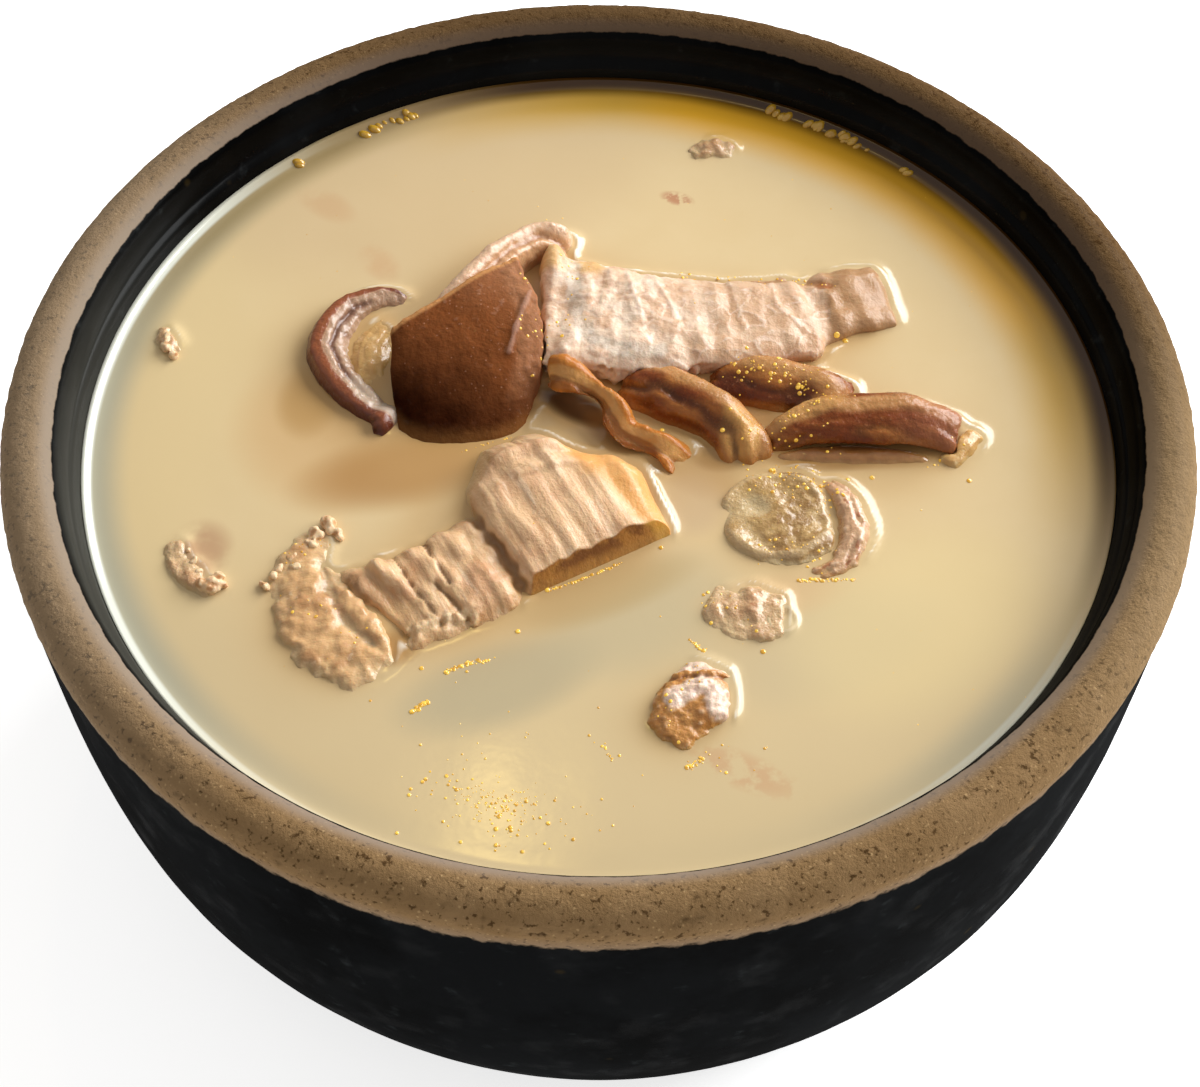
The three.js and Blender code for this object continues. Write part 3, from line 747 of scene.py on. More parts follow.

# ---- The dark fold and its hook -----------------------------------------------------------------
# A sheet of stewed offal folded over: its dark skin slopes up out of the broth to a cut edge.
# Behind the edge the sheet turns pale and hooks round, its rim up. FOLD_GLARE is a ridge
# that is painted pale, a painted highlight.
FOLD_TOP_EDGE = [(-31.2, 13.7), (-26, 17.4), (-19.4, 22.4), (-12.8, 27.5)]
FOLD_RIGHT_EDGE = [(-12.8, 27.5), (-8.8, 16.6), (-8.8, 8), (-11.2, -1.2)]
FOLD_GLARE = [(-10.6, 20.6), (-11.6, 17), (-12.8, 12.6), (-13.4, 9.4)]
HOOK_LINE = [(-25.4, 16.4), (-18.8, 24.4), (-14, 31.6), (-9.4, 35.6), (-5, 35)]


def fold_form(point, normal):
    """A smooth skin with faint dimples, a slight lip at the cut edge and a puckered right strip."""
    rim = bell(reach(point, FOLD_TOP_EDGE), 0.9) * ease(76, 78, point.z)
    strip = ease(4.2, 2.6, reach(point, FOLD_RIGHT_EDGE)) * ease(-2, 4, point.y)
    ridge = bell(reach(point, FOLD_GLARE) + 0.3 * grain(point, 1.6, 2), 0.5)
    dimples = 0.07 * grain(point, 0.9, 3) + 0.16 * grain(point, 3.4, 4) + 0.3 * grain(point, 9, 5)
    pucker = 0.32 * strip * grain(point, 1.3, 6)
    return dimples + 0.3 * rim + 0.45 * ridge + pucker, rim, strip, ridge


fold_notes = ("rim", "strip", "ridge")
fold = flesh("offal_fold", "offal_fold_skin", fold_form, fold_notes)
liver = Recipe("dark_stewed_skin")
rim, strip, ridge = (liver.painted(name) for name in fold_notes)
climb = ((liver.x + 29) * 0.45 + (liver.y + 4) * 0.9) / 33.3
veil = liver.cloud(5, detail=4)
glints = liver.flecks(1.1, 0.6, 0.72)
liver_tone = liver.layer(
    liver.blend((30, 4, 1), (126, 72, 38), liver.step(climb + (veil - 0.5) * 0.3, 0.05, 0.62)),
    ((160, 106, 72), liver.step(climb + (veil - 0.5) * 0.2, 0.62, 1.0) * 0.8),
    ((160, 112, 80), strip * liver.step(liver.y, -1, 10) * 0.65),
    ((176, 132, 108), liver.flecks(1.6, 0.6, 0.7, 4) * liver.step(climb, 0.3, 0.9) * 0.35),
    ((178, 120, 66), liver.awash(1.8, 0.2) * 0.35),
    # Painted highlight: the ridge is painted pale.
    ((178, 138, 118), liver.step(ridge, 0.3, 0.9) * 0.6),
    ((204, 146, 92), liver.step(rim, 0.3, 0.85) * 0.85),
    ((182, 134, 108), liver.step(liver.grains(1.1), 0.16, 0.08) * liver.step(climb, 0.2, 0.5) * 0.5),
)
liver.finish(
    base_color=liver_tone,
    roughness=liver.cloud(1.2, detail=2) * 0.16 + 0.2,
    specular_ior_level=0.0,
    **wet(film=glints * 0.2 + 0.03, film_rough=0.08, glow=0.12, green=0.35, blue=0.15),
    normal=liver.bump(liver.cloud(0.8) + liver.cloud(3) * 0.5, 0.22),
)
fold.data.materials.append(liver.material)


def hook_form(point, normal):
    """The rim is thick and rounded, and the inside is finely wrinkled across the strip."""
    s, w = course(point, HOOK_LINE)
    outer = ease(-0.4, 1.4, w)
    wrinkle = 0.16 * (1 - outer) * noise.noise(Vector((s * 18, w / 2, 2)))
    lumps = 0.14 * grain(point, 1.4, 3) + 0.3 * outer * grain(point, 4, 1)
    return wrinkle + lumps - 0.5 * bell(w + 0.4, 0.6), outer


hook = flesh("offal_hook", "offal_hook_skin", hook_form, ("outer",))
pink = Recipe("pink_lining")
outer = pink.painted("outer")
pink.finish(
    base_color=pink.layer(
        pink.blend((212, 166, 122), (190, 140, 98), pink.cloud(2, detail=4)),
        ((218, 180, 146), pink.step(outer, 0.2, 0.8) * 0.85),
        # Painted shade in the hollows.
        ((160, 104, 66), pink.step(pink.painted("relief"), -0.2, -0.6) * 0.7),
        ((214, 184, 140), pink.awash(1.6, 0.1) * 0.5),
    ),
    roughness=0.32,
    **wet(film=0.3, film_rough=0.12, glow=0.22, green=0.5, blue=0.3, depth_mm=1.2),
    normal=pink.bump(pink.cloud(0.9), 0.25),
)
hook.data.materials.append(pink.material)

# ---- The curl and its lining --------------------------------------------------------------------
# A strip of the same offal that stands in a loop at the left: brown skin outside, and inside it a
# greyish pink face, gathered into small pleats. Its yellow lining shows in the hollow of the loop.
CURL_LINE = [(-29.2, 24), (-33.4, 24.6), (-37.9, 22.2), (-40.2, 18.2), (-41.2, 13.8)]
CURL_LINE += [(-39.2, 9), (-35.5, 4.6), (-31.6, 1.2)]


def curl_form(point, normal):
    """Smooth outside, pleated inside with a groove along it, and drawn out at its front end."""
    s, w = course(point, CURL_LINE)
    inner = ease(-1.0, -0.4, w + 0.3 * grain(point, 2, 3))
    pleats = 0.22 * inner * noise.noise(Vector((s * 44, w / 1.4, point.z / 3)))
    groove = -0.5 * bell(w - 0.7, 0.45) * ease(0.08, 0.3, s) * ease(1, 0.8, s)
    end = 2.4 * ease(0.93, 0.99, s) * ease(0.2, 0.8, normal.x * 0.8 - normal.y * 0.6)
    lumps = 0.12 * grain(point, 1.3, 2) + 0.2 * grain(point, 4, 6)
    return pleats + groove + end + lumps, inner, -groove * 2


curl = flesh("offal_curl", "offal_curl_skin", curl_form, ("inner", "groove"), cell=0.34)
rind = Recipe("brown_rind_and_lilac_face")
inner, groove = rind.painted("inner"), rind.painted("groove")
pleat = rind.painted("relief")
rind_tone = rind.blend((92, 34, 12), (142, 74, 34), rind.step(rind.z, SOUP + 0.4, SOUP + 2.8))
inner_tone = rind.layer(
    rind.blend((170, 128, 94), (192, 160, 134), rind.cloud(2.4)),
    # Painted highlight on the pleats' tops and painted shade between them.
    ((206, 190, 174), rind.step(pleat, 0.05, 0.25) * 0.6),
    ((120, 74, 54), rind.step(pleat, -0.02, -0.3) * 0.6),
)
rind.finish(
    base_color=rind.layer(
        rind.blend(rind_tone, inner_tone, inner),
        # Painted shade in the groove.
        ((92, 48, 30), rind.step(groove, 0.3, 0.9) * 0.6),
        ((214, 190, 166), rind.spot(-35, 5, 3.4, 3.4) * inner * 0.6),
        ((208, 164, 130), rind.step(inner, 0.1, 0.5) * rind.step(inner, 0.9, 0.5) * 0.5),
    ),
    roughness=0.3,
    **wet(film=0.25, film_rough=0.12, glow=0.15, green=0.4, blue=0.2),
    normal=rind.bump(rind.cloud(0.8), 0.22),
)
curl.data.materials.append(rind.material)


def lining_form(point, normal):
    """Soft and lumpy, and swollen all round."""
    full = 1.5 * ease(0.8, 0.2, abs(normal.z))
    return (full + 0.2 * grain(point, 2, 3) + 0.1 * grain(point, 0.8, 5),)


lining = flesh("offal_lining", "offal_lining_skin", lining_form, cell=0.3)
fatty = Recipe("soft_yellow_fat")
fatty_tone = fatty.layer(
    fatty.blend((196, 144, 76), (222, 180, 116), fatty.cloud(2.5)),
    ((240, 214, 164), fatty.flecks(1.2, 0.58, 0.7) * 0.5),
    ((206, 164, 100), fatty.awash(0.5, 0) * 0.5),
)
fatty.finish(
    base_color=fatty_tone,
    roughness=0.28,
    **wet(film=0.3, film_rough=0.1, glow=0.3, green=0.7, blue=0.35, depth_mm=1.4),
    normal=fatty.bump(fatty.cloud(0.9), 0.18),
)
lining.data.materials.append(fatty.material)

# ---- The frilled ribbon -------------------------------------------------------------------------
# A narrow strip trimmed from the same sheet. It runs down from the fold between the slice and the
# slab, its orange brown edges frilled and its top pale.
RIBBON_LINE = [(-7.6, 6.2), (-3.2, 4.6), (0.8, 1.6), (3.4, -2.6), (8, -4.6), (12.4, -7)]


def ribbon_form(point, normal):
    """A strip that is thickest at its ends and hollow along its middle, with frilled edges."""
    s, w = course(point, RIBBON_LINE)
    edge = ease(0.5, 1.6, abs(w))
    frill = 0.14 * edge * math.sin(s * 30 + 2 * grain(point, 3, 2))
    swell = 0.3 + 0.4 * bell(s - 0.12, 0.1) + 0.4 * bell(s - 0.9, 0.14) + 0.25 * edge
    swell -= 1.1 * ease(0.4, -1, w)
    lumps = 0.12 * grain(point, 1.4, 3) + 0.2 * grain(point, 3, 6)
    return swell + frill + lumps - 0.35 * bell(w - 0.2, 0.7), edge


ribbon = flesh("offal_ribbon", "offal_ribbon_skin", ribbon_form, ("edge",), cell=0.3, soften=2)
frilled = Recipe("frilled_brown_strip")
edge = frilled.painted("edge")
frilled.finish(
    base_color=frilled.layer(
        frilled.blend((196, 132, 62), (222, 172, 110), frilled.cloud(2.6)),
        ((178, 104, 28), frilled.step(edge, 0.15, 0.7) * 0.85),
        # Painted shade in the hollows.
        ((128, 68, 28), frilled.step(frilled.painted("relief"), -0.08, -0.36) * 0.7),
        ((184, 122, 58), frilled.awash(1.2, 0.1) * 0.5),
    ),
    roughness=0.32,
    specular_ior_level=0.2,
    **wet(film=0.15, film_rough=0.12, glow=0.2, green=0.4, blue=0.12),
    normal=frilled.bump(frilled.cloud(0.8), 0.2),
)
ribbon.data.materials.append(frilled.material)

# ---- The dark lobes, the pointed flap and what is under it --------------------------------------
# Folds of the same dark offal under the slice, rounded and wet. The pointed flap on the right
# stands clear of the broth in front, so a dark hollow shows between it and the flap beneath.
LOBE_LEFT_LINE = [(4, 8.8), (10, 5.6), (16.4, 1.6), (20.4, -2.2), (21.4, -6.2)]
LOBE_RIGHT_LINE = [(17.4, 10.4), (23, 8), (29, 6.6), (35.4, 3.4)]
WEDGE_LINE = [(25, -3.2), (31, -0.6), (38, -0.2), (46, -0.4), (52.4, -2.2)]


def lobe_form(line, crest_side, swell, crease, folds=0.0):
    """The form of a rounded fold: a crest along one side, fine wrinkles, a crease and end folds.

    The form notes how near a point is to the crest, how far along the fold, and how deep."""

    def form(point, normal):
        s, w = course(point, line)
        crest = bell(w - crest_side * 1.6 + 0.7 * grain(point, 5, 1), 1.5) * ease(0, 0.7, normal.z)
        wrinkles = 0.24 * noise.noise(Vector((s * 6, w / 0.8, 3)))
        wrinkles -= crease * bell(w + 1.4 + 0.8 * grain(point, 4, 9), 0.5) * ease(0.85, 0.6, s)
        wrinkles += 0.1 * grain(point, 1, 4) + 0.35 * grain(point, 4, 2) + 0.25 * crest
        wrinkles += folds * ease(0.5, 0.8, s) * math.sin(2.2 * w + 0.6)
        return swell + wrinkles, crest, s, ease(0.1, -0.4, wrinkles)

    return form


lobe_notes = ("crest", "far", "hollow")
lobe_shapes = {
    "offal_lobe_left": (lobe_form(LOBE_LEFT_LINE, 1, 0.9, 0.6, folds=0.28), CELL_MM),
    "offal_lobe_right": (lobe_form(LOBE_RIGHT_LINE, 1, 1.0, 0.4), CELL_MM),
    "offal_wedge": (lobe_form(WEDGE_LINE, 0.8, 0.2, 0), 0.36),
}
stewed = Recipe("dark_stewed_folds")
crest, far, hollow = (stewed.painted(name) for name in lobe_notes)
veil = stewed.cloud(4, stewed.turned(-14, (0.3, 1, 1)), detail=4)
stewed_tone = stewed.layer(
    stewed.blend((124, 58, 18), (178, 112, 52), stewed.step(veil, 0.4, 0.64)),
    # Painted highlight: the crest is lighter where it faces up.
    ((190, 138, 84), stewed.step(crest, 0.2, 0.9) * 0.85),
    ((210, 158, 90), stewed.spot(20.6, -2.8, 3.0, 4.0) * 0.8),
    ((198, 146, 84), stewed.spot(31, 1.4, 6, 2.4, 20) * 0.7),
    # Painted shade in the low wrinkles.
    ((74, 30, 8), hollow * 0.7),
    ((190, 132, 92), stewed.flecks(0.8, 0.6, 0.7) * 0.3),
    ((158, 98, 74), stewed.step(far, 0.55, 1) * stewed.step(stewed.x, 34, 44) * 0.6),
    ((168, 112, 54), stewed.awash(1.2, 0.1) * 0.6),
)
stewed.finish(
    base_color=stewed_tone,
    roughness=stewed.cloud(1.4, detail=2) * 0.14 + 0.2,
    specular_ior_level=0.25,
    **wet(film=0.15, film_rough=0.08, glow=0.14, green=0.38, blue=0.16),
    normal=stewed.bump(stewed.cloud(0.8), 0.2),
)
for node, (form, cell) in lobe_shapes.items():
    lobe = flesh(node, node + "_skin", form, lobe_notes, cell)
    lobe.data.materials.append(stewed.material)


def underflap_form(point, normal):
    """Almost smooth."""
    return (0.15 * grain(point, 2, 3) + 0.06 * grain(point, 0.8, 4),)


underflap = flesh("offal_underflap", "offal_underflap_skin", underflap_form, cell=0.34)
shaded_underside = Recipe("wet_brown_underside")
shaded_underside.finish(
    base_color=shaded_underside.layer(
        shaded_underside.blend((130, 78, 34), (176, 120, 64), shaded_underside.cloud(4)),
        # Painted shade: darker towards the back, under the pointed flap.
        ((92, 44, 14), shaded_underside.step(shaded_underside.y, -6, -4.2) * 0.6),
        ((190, 142, 84), shaded_underside.awash(0.8, 0.1) * 0.8),
    ),
    roughness=0.25,
    **wet(film=0.6, film_rough=0.1, glow=0.15, green=0.4, blue=0.16),
    normal=shaded_underside.bump(shaded_underside.cloud(1), 0.15),
)
underflap.data.materials.append(shaded_underside.material)

# ---- The fat tip, the grey disc and its flap ----------------------------------------------------
# Soft fat: a pale yellow end beyond the pointed flap, and in front a thin grey disc, swollen and
# half clear, awash in the broth and pitted with froth. A brown flap of skin lies on its right.
FLAP_LINE = [(31.4, -8.8), (35.2, -13), (36.4, -19), (34.2, -24.6), (29.6, -26.6)]
DISC_MIDDLE = (25.4, -16.4)
DIMPLE = (22.4, -15)


def tip_form(point, normal):
    """Soft and a little lumpy."""
    return (0.25 * grain(point, 2.2, 3) + 0.1 * grain(point, 0.8, 5),)


tip = flesh("fat_tip", "soft_fat_tip", tip_form, cell=0.3)
tip.data.materials.append(fatty.material)


def disc_form(point, normal):
    """A swollen rim, a dimple left of the middle, and froth that is roughest on the right."""
    radius = math.hypot(point.x - DISC_MIDDLE[0], (point.y - DISC_MIDDLE[1]) * 1.05)
    rim = bell(radius - 7.6 + 0.6 * grain(point, 3, 4), 0.8)
    dimple = bell(math.hypot(point.x - DIMPLE[0], point.y - DIMPLE[1]), 1.7)
    pitted = ease(22, 28, point.x - 0.4 * point.y - 6)
    froth = grain(point, 0.9, 2) + 0.6 * grain(point, 0.5, 8)
    lumps = (0.06 + 0.1 * pitted) * froth + 0.2 * grain(point, 3, 5)
    return 0.25 * rim - 0.3 * dimple + lumps, rim, pitted


disc = flesh("fat_disc", "grey_fat_disc", disc_form, ("rim", "pitted"), FINE_CELL_MM)
clear_fat = Recipe("half_clear_grey_fat")
rim, pitted = clear_fat.painted("rim"), clear_fat.painted("pitted")
clear_fat.finish(
    base_color=clear_fat.layer(
        clear_fat.blend((196, 160, 104), (174, 134, 76), clear_fat.cloud(4)),
        ((146, 106, 56), pitted * clear_fat.flecks(2, 0.4, 0.6, 4) * 0.75),
        ((208, 178, 134), clear_fat.step(rim, 0.3, 0.8) * 0.6),
        ((120, 82, 40), clear_fat.spot(28.4, -8.6, 4.6, 1.0, -8) * 0.7),
        ((212, 192, 150), clear_fat.spot(*DIMPLE, 2.2, 2.0) * 0.5),
        ((150, 100, 58), clear_fat.flecks(0.9, 0.62, 0.7) * 0.5),
        ((208, 180, 134), clear_fat.awash(1.3, 0.5, clear_fat.cloud(2) * 0.8) * 0.8),
    ),
    roughness=0.24,
    **wet(film=0.4, film_rough=0.06, glow=0.3, green=0.75, blue=0.4, depth_mm=1.4),
    normal=clear_fat.bump(clear_fat.cloud(0.7), 0.2),
)
disc.data.materials.append(clear_fat.material)


def flap_form(point, normal):
    """Crumpled skin with small warts and a crease along it."""
    warts = 0.4 * max(0.0, grain(point, 1.1, 3)) + 0.2 * grain(point, 2.2, 2)
    return (warts - 0.3 * bell(course(point, FLAP_LINE)[1] - 0.6, 0.4),)


flap_skin = flesh("skin_flap", "brown_skin_flap", flap_form, cell=0.3)
skin = Recipe("crumpled_brown_skin")
skin.finish(
    base_color=skin.layer(
        skin.blend((192, 142, 100), (222, 182, 142), skin.cloud(2, detail=4)),
        ((166, 96, 54), skin.flecks(1.7, 0.54, 0.64) * 0.8),
        ((232, 202, 172), skin.step(skin.painted("relief"), 0.12, 0.34) * 0.6),
        ((196, 150, 84), skin.awash(0.8, 0) * 0.6),
    ),
    roughness=0.28,
    **wet(film=0.6, film_rough=0.1, glow=0.2, green=0.5, blue=0.25),
    normal=skin.bump(skin.cloud(0.7), 0.22),
)
flap_skin.data.materials.append(skin.material)

# ---- The scraps ---------------------------------------------------------------------------------
# Small torn bits of meat and skin that have drifted off the pieces. The one in front is a curled
# crackled scrap with a white frilled top; the others lie nearly awash.
FRILL_LINE = [(10.4, -48), (12.4, -46.6), (14.6, -45.8), (16, -47.4), (16.2, -49.4)]


def scrap_form(point, normal):
    """Torn and lumpy all over."""
    lumps = 0.36 * grain(point, 2.4, 3) + 0.2 * grain(point, 1, 5)
    creases = -0.6 * max(0.0, grain(point, 1.9, 11) - 0.25)
    return (lumps + creases,)


scraps = {
    "scrap_middle": ("meat_scrap_middle", "pink_offal"),
    "scrap_left": ("meat_scrap_left", "pale_pork"),
    "scrap_back": ("meat_scrap_back", "pale_pork"),
    "crumb_left": ("meat_crumb_left", "pale_pork"),
}
torn = Recipe("torn_scrap")
relief = torn.painted("relief")
torn.finish(
    base_color=torn.layer(
        torn.blend((190, 140, 94), (212, 168, 124), torn.cloud(3, detail=4)),
        ((168, 104, 56), torn.flecks(1.5, 0.56, 0.66) * 0.6),
        # Painted highlight on the raised lumps and painted shade in the hollows.
        ((230, 198, 164), torn.step(relief, 0.1, 0.45) * 0.6),
        ((150, 92, 46), torn.step(relief, -0.1, -0.45) * 0.6),
        ((214, 184, 138), torn.awash(2.0, 0.6, torn.cloud(1.6) * 1.2) * 0.85),
    ),
    roughness=0.3,
    **wet(film=0.5, film_rough=0.1, glow=0.2, green=0.5, blue=0.25),
    normal=torn.bump(torn.cloud(0.7), 0.25),
)
for node, (name, slot) in scraps.items():
    piece = flesh(node, name, scrap_form, cell=0.3, soften=2)
    piece.data.materials.append(torn.material)


def front_scrap_form(point, normal):
    """Crackled skin to the left, a white frill that bends round it, a valley behind the frill and
    a pale back rim."""
    frill = bell(reach(point, FRILL_LINE) + 0.4 * grain(point, 1.2, 3), 1.5)
    back = ease(-43.8, -42.8, point.y)
    crackle = 0.36 * grain(point, 1.2, 4) + 0.2 * grain(point, 0.6, 6)
    curls = 0.4 * frill * noise.noise(Vector((point.x / 0.9, point.y / 0.7, 4)))
    valley = bell(point.y + 44.4, 0.5) + 0.8 * bell(math.hypot(point.x - 12.4, point.y + 49.8), 0.9)
    return crackle * (1 - 0.4 * frill) + curls + 0.6 * frill - 0.5 * valley, max(frill, back)


front_scrap = flesh("scrap_front", "meat_scrap_front", front_scrap_form, ("frill",), cell=0.28, soften=2)
crackled = Recipe("crackled_scrap")
frill, relief = crackled.painted("frill"), crackled.painted("relief")
crackled.finish(
    base_color=crackled.layer(
        crackled.blend((214, 156, 86), (188, 120, 50), crackled.cloud(2)),
        # Painted highlight on the raised parts and painted shade in the hollows.
        ((236, 204, 168), crackled.step(relief, 0.1, 0.4) * 0.7),
        ((116, 58, 20), crackled.step(relief, -0.1, -0.4) * 0.6),
        ((242, 212, 190), crackled.step(frill, 0.2, 0.55) * 0.9),
        ((202, 158, 92), crackled.awash(0.6, 0) * 0.6),
    ),
    roughness=0.3,
    **wet(film=0.3, film_rough=0.12, glow=0.2, green=0.5, blue=0.25),
    normal=crackled.bump(crackled.cloud(0.6), 0.22),
)
front_scrap.data.materials.append(crackled.material)

# ---- The curdled crumbs ------------------------------------------------------------------------
# Crumbs of curdled fat and pork, a millimetre or two across, that the broth has carried to the
# flake's back edge, the left scrap and the left wall. Each of CURDS, a place and a radius, is made
# of three small balls, and all are fused into one piece.
CURD_BALLS = 3
CURD_CELL_MM = 0.22
CURDS = [
    (-38.4, -19.2, 1.1), (-37.2, -19.9, 0.8), (-36.4, -20.8, 0.6), (-39.6, -20.9, 0.9),
    (-40.2, -22.4, 0.8), (-41.6, -24, 0.7), (-43, -25.4, 0.9), (-44, -26.8, 0.6),
    (-45.2, -28.4, 0.7), (-46.2, -29.6, 0.6), (-42.2, -26.8, 0.7), (-54.4, -29.4, 1.0),
    (-53.2, -30.2, 1.1), (-52.4, -28.4, 0.7), (-55.6, -27.6, 0.5), (-51.8, -29.8, 0.7),
    (-56.4, -25.4, 0.5), (-57.4, -23.6, 0.5), (-65.4, 14.2, 0.9), (-64.4, 12.8, 0.7), (-66, 16, 0.7),
]

bpy.ops.object.select_all(action="DESELECT")
random.seed(5)
lumps = []
for x, y, radius in CURDS:
    low = Vector((x, y, SOUP + 0.2 + 0.4 * radius))
    for _ in range(CURD_BALLS):
        aside = (random.uniform(-1, 1), random.uniform(-1, 1), random.uniform(-0.2, 0.5))
        middle = low + Vector(aside) * radius * 0.6
        size = radius * random.uniform(0.75, 1.0)
        bpy.ops.mesh.primitive_ico_sphere_add(subdivisions=2, radius=size * MM, location=middle * MM)
        lumps.append(bpy.context.object)
pick(*lumps)
bpy.ops.object.join()
curds = bpy.context.object
curds.name = "curdled_crumbs"
bpy.ops.object.transform_apply(location=True, rotation=True, scale=True)


def curd_form(point, normal):
    """Lumpy and grainy."""
    return (0.34 * grain(point, 1.1, 3) + 0.14 * grain(point, 0.5, 5),)


fuse_and_carve(curds, curd_form, (), CURD_CELL_MM, soften=3)
curdled = Recipe("curdled_crumbs")
curdled.finish(
    base_color=curdled.layer(
        curdled.blend((226, 184, 134), (240, 212, 174), curdled.cloud(1.6)),
        # Painted shade in the hollows between the lumps.
        ((196, 138, 84), curdled.step(curdled.painted("relief"), 0.02, -0.14) * 0.8),
    ),
    roughness=0.4,
    **wet(film=0.1, film_rough=0.12, glow=0.25, green=0.6, blue=0.35),
    normal=curdled.bump(curdled.cloud(0.5), 0.15),
)
curds.data.materials.append(curdled.material)
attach(curds, "root")

# ---- The broth ----------------------------------------------------------------------------------
# Pork bones simmered until the water turns milky. It climbs a little up the meat and the wall,
# and fills the pot, just into the wall, so that no gap shows. Its surface is a fine sheet with one
# clear bubble in front, and the form below is drawn in ring by ring.
BROTH_RADIUS = 75.2
BROTH_BELOW = [(74.2, 62), (72.4, 44), (69.4, 27), (61.8, 15), (48, 10.2)]
BROTH_CELLS = 300
WALL_RADIUS = 75
BUBBLE_PLACE = (25.5, -34.2)
BUBBLE_RADIUS = 2.0
BUBBLE_WALL_MM = 0.35
BUBBLE_WALL_WIDTH_MM = 0.4
MAP_STEP_MM = 0.5
MAP_HALF = 160
MEAT_HALF_WIDTH = 70
MEAT_HALF_DEPTH = 66
HIGH_ABOVE = 0.1
TALL_MM = 1.4
CLIMB_MM = 1.25
CLIMB_WIDTH_MM = 0.7
CLIMB_SHIFT = (2, 2)
RIM_SHIFT = (3, 4)
RIM_WIDTH_MM = 1.2
SHADE_SHIFT = (-3, -2)
WIDE_SHADE_SHIFT = (-6, -6)
CLIMB_WALL_MM = 1.2
CLIMB_REACH_MM = 0.6
RIPPLE_MM = 0.05


def in_disc(x, y):
    """Carries a point of the square from -1 to 1 to the round disc, ring by ring."""
    if x == 0 and y == 0:
        return 0.0, 0.0
    if abs(x) > abs(y):
        turn = math.pi / 4 * y / x
        return x * math.cos(turn), x * math.sin(turn)
    turn = math.pi / 2 - math.pi / 4 * x / y
    return y * math.cos(turn), y * math.sin(turn)


def tree_of(pieces):
    """The pieces' faces, all but the broth's floor, as a tree that rays can hit."""
    points, faces = [], []
    for piece in pieces:
        first = len(points)
        points += [vertex.co.copy() for vertex in piece.data.vertices]
        for face in piece.data.polygons:
            if len(face.vertices) < 5:
                faces.append([first + corner for corner in face.vertices])
    return BVHTree.FromPolygons(points, faces)


def top_at(tree, x, y):
    """The highest point of the pieces at a place in mm, and the way its face points."""
    return tree.ray_cast(Vector((x * MM, y * MM, HIGH_ABOVE)), Vector((0, 0, -1)))[:2]


meats = []
for piece in bpy.context.scene.objects:
    if piece.type == "MESH" and piece.get("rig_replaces") and piece is not pot:
        meats.append(piece)
meat_tree = tree_of(meats)

# How high the meat stands over the broth, on a grid that starts at the front left.
standing = np.zeros((2 * MAP_HALF + 1, 2 * MAP_HALF + 1))
for row, column in np.ndindex(standing.shape):
    x, y = (column - MAP_HALF) * MAP_STEP_MM, (row - MAP_HALF) * MAP_STEP_MM
    if abs(x) < MEAT_HALF_WIDTH and abs(y) < MEAT_HALF_DEPTH:
        top = top_at(meat_tree, x, y)[0]
        if top is not None:
            standing[row, column] = max(0.0, top.z / MM - SOUP)


def spread(heights, reach_mm):
    """The grid blurred by a bell as wide as reach_mm."""
    span = int(3 * reach_mm / MAP_STEP_MM)
    weights = np.exp(-0.5 * (np.arange(-span, span + 1) * MAP_STEP_MM / reach_mm) ** 2)
    weights /= weights.sum()
    for axis in (0, 1):
        heights = np.apply_along_axis(np.convolve, axis, heights, weights, "same")
    return heights


def cast(height_mm, shift, reach_mm):
    """The meat up to some height, moved by a shift of (back, right) in grid steps, and spread."""
    return spread(np.roll(np.minimum(standing, height_mm), shift, (0, 1)), reach_mm)


def at(grid, x, y):
    """A grid's value at a place in mm, between its points."""
    column, row = x / MAP_STEP_MM + MAP_HALF, y / MAP_STEP_MM + MAP_HALF
    c, r = int(column), int(row)
    u, v = column - c, row - r
    near = grid[r, c] * (1 - u) + grid[r, c + 1] * u
    return near * (1 - v) + (grid[r + 1, c] * (1 - u) + grid[r + 1, c + 1] * u) * v


# It climbs highest behind and to the right of tall pieces, and hardly at all in the gaps between.
# There, on the window's side, a thin raised rim runs round each piece, a little way off, and its
# white is a painted highlight. Brown shade lies on the other side.
covered = np.minimum(standing, 1)
open_around = (0.62 - spread(covered, 3)) / 0.2
height_near = spread(standing, 1.6) / np.maximum(spread(covered, 1.6), 0.05)
tall = 1 - np.exp(-height_near / TALL_MM)
climbing = 0.3 * spread(covered, 0.6) + cast(1, CLIMB_SHIFT, CLIMB_WIDTH_MM)
climbing *= np.clip(open_around, 0.08, 1) * tall
toward_window = cast(1, RIM_SHIFT, RIM_WIDTH_MM) - spread(covered, RIM_WIDTH_MM)
rims = np.exp(-(((spread(covered, 1) - 0.14) / 0.07) ** 2)) * np.clip(5 * toward_window, 0, 1)
rims *= np.clip(open_around, 0, 1) * tall
climbing = 0.6 * climbing + 0.5 * rims
around_meat = cast(2, SHADE_SHIFT, 2.4)
wide_around = cast(3, WIDE_SHADE_SHIFT, 6)

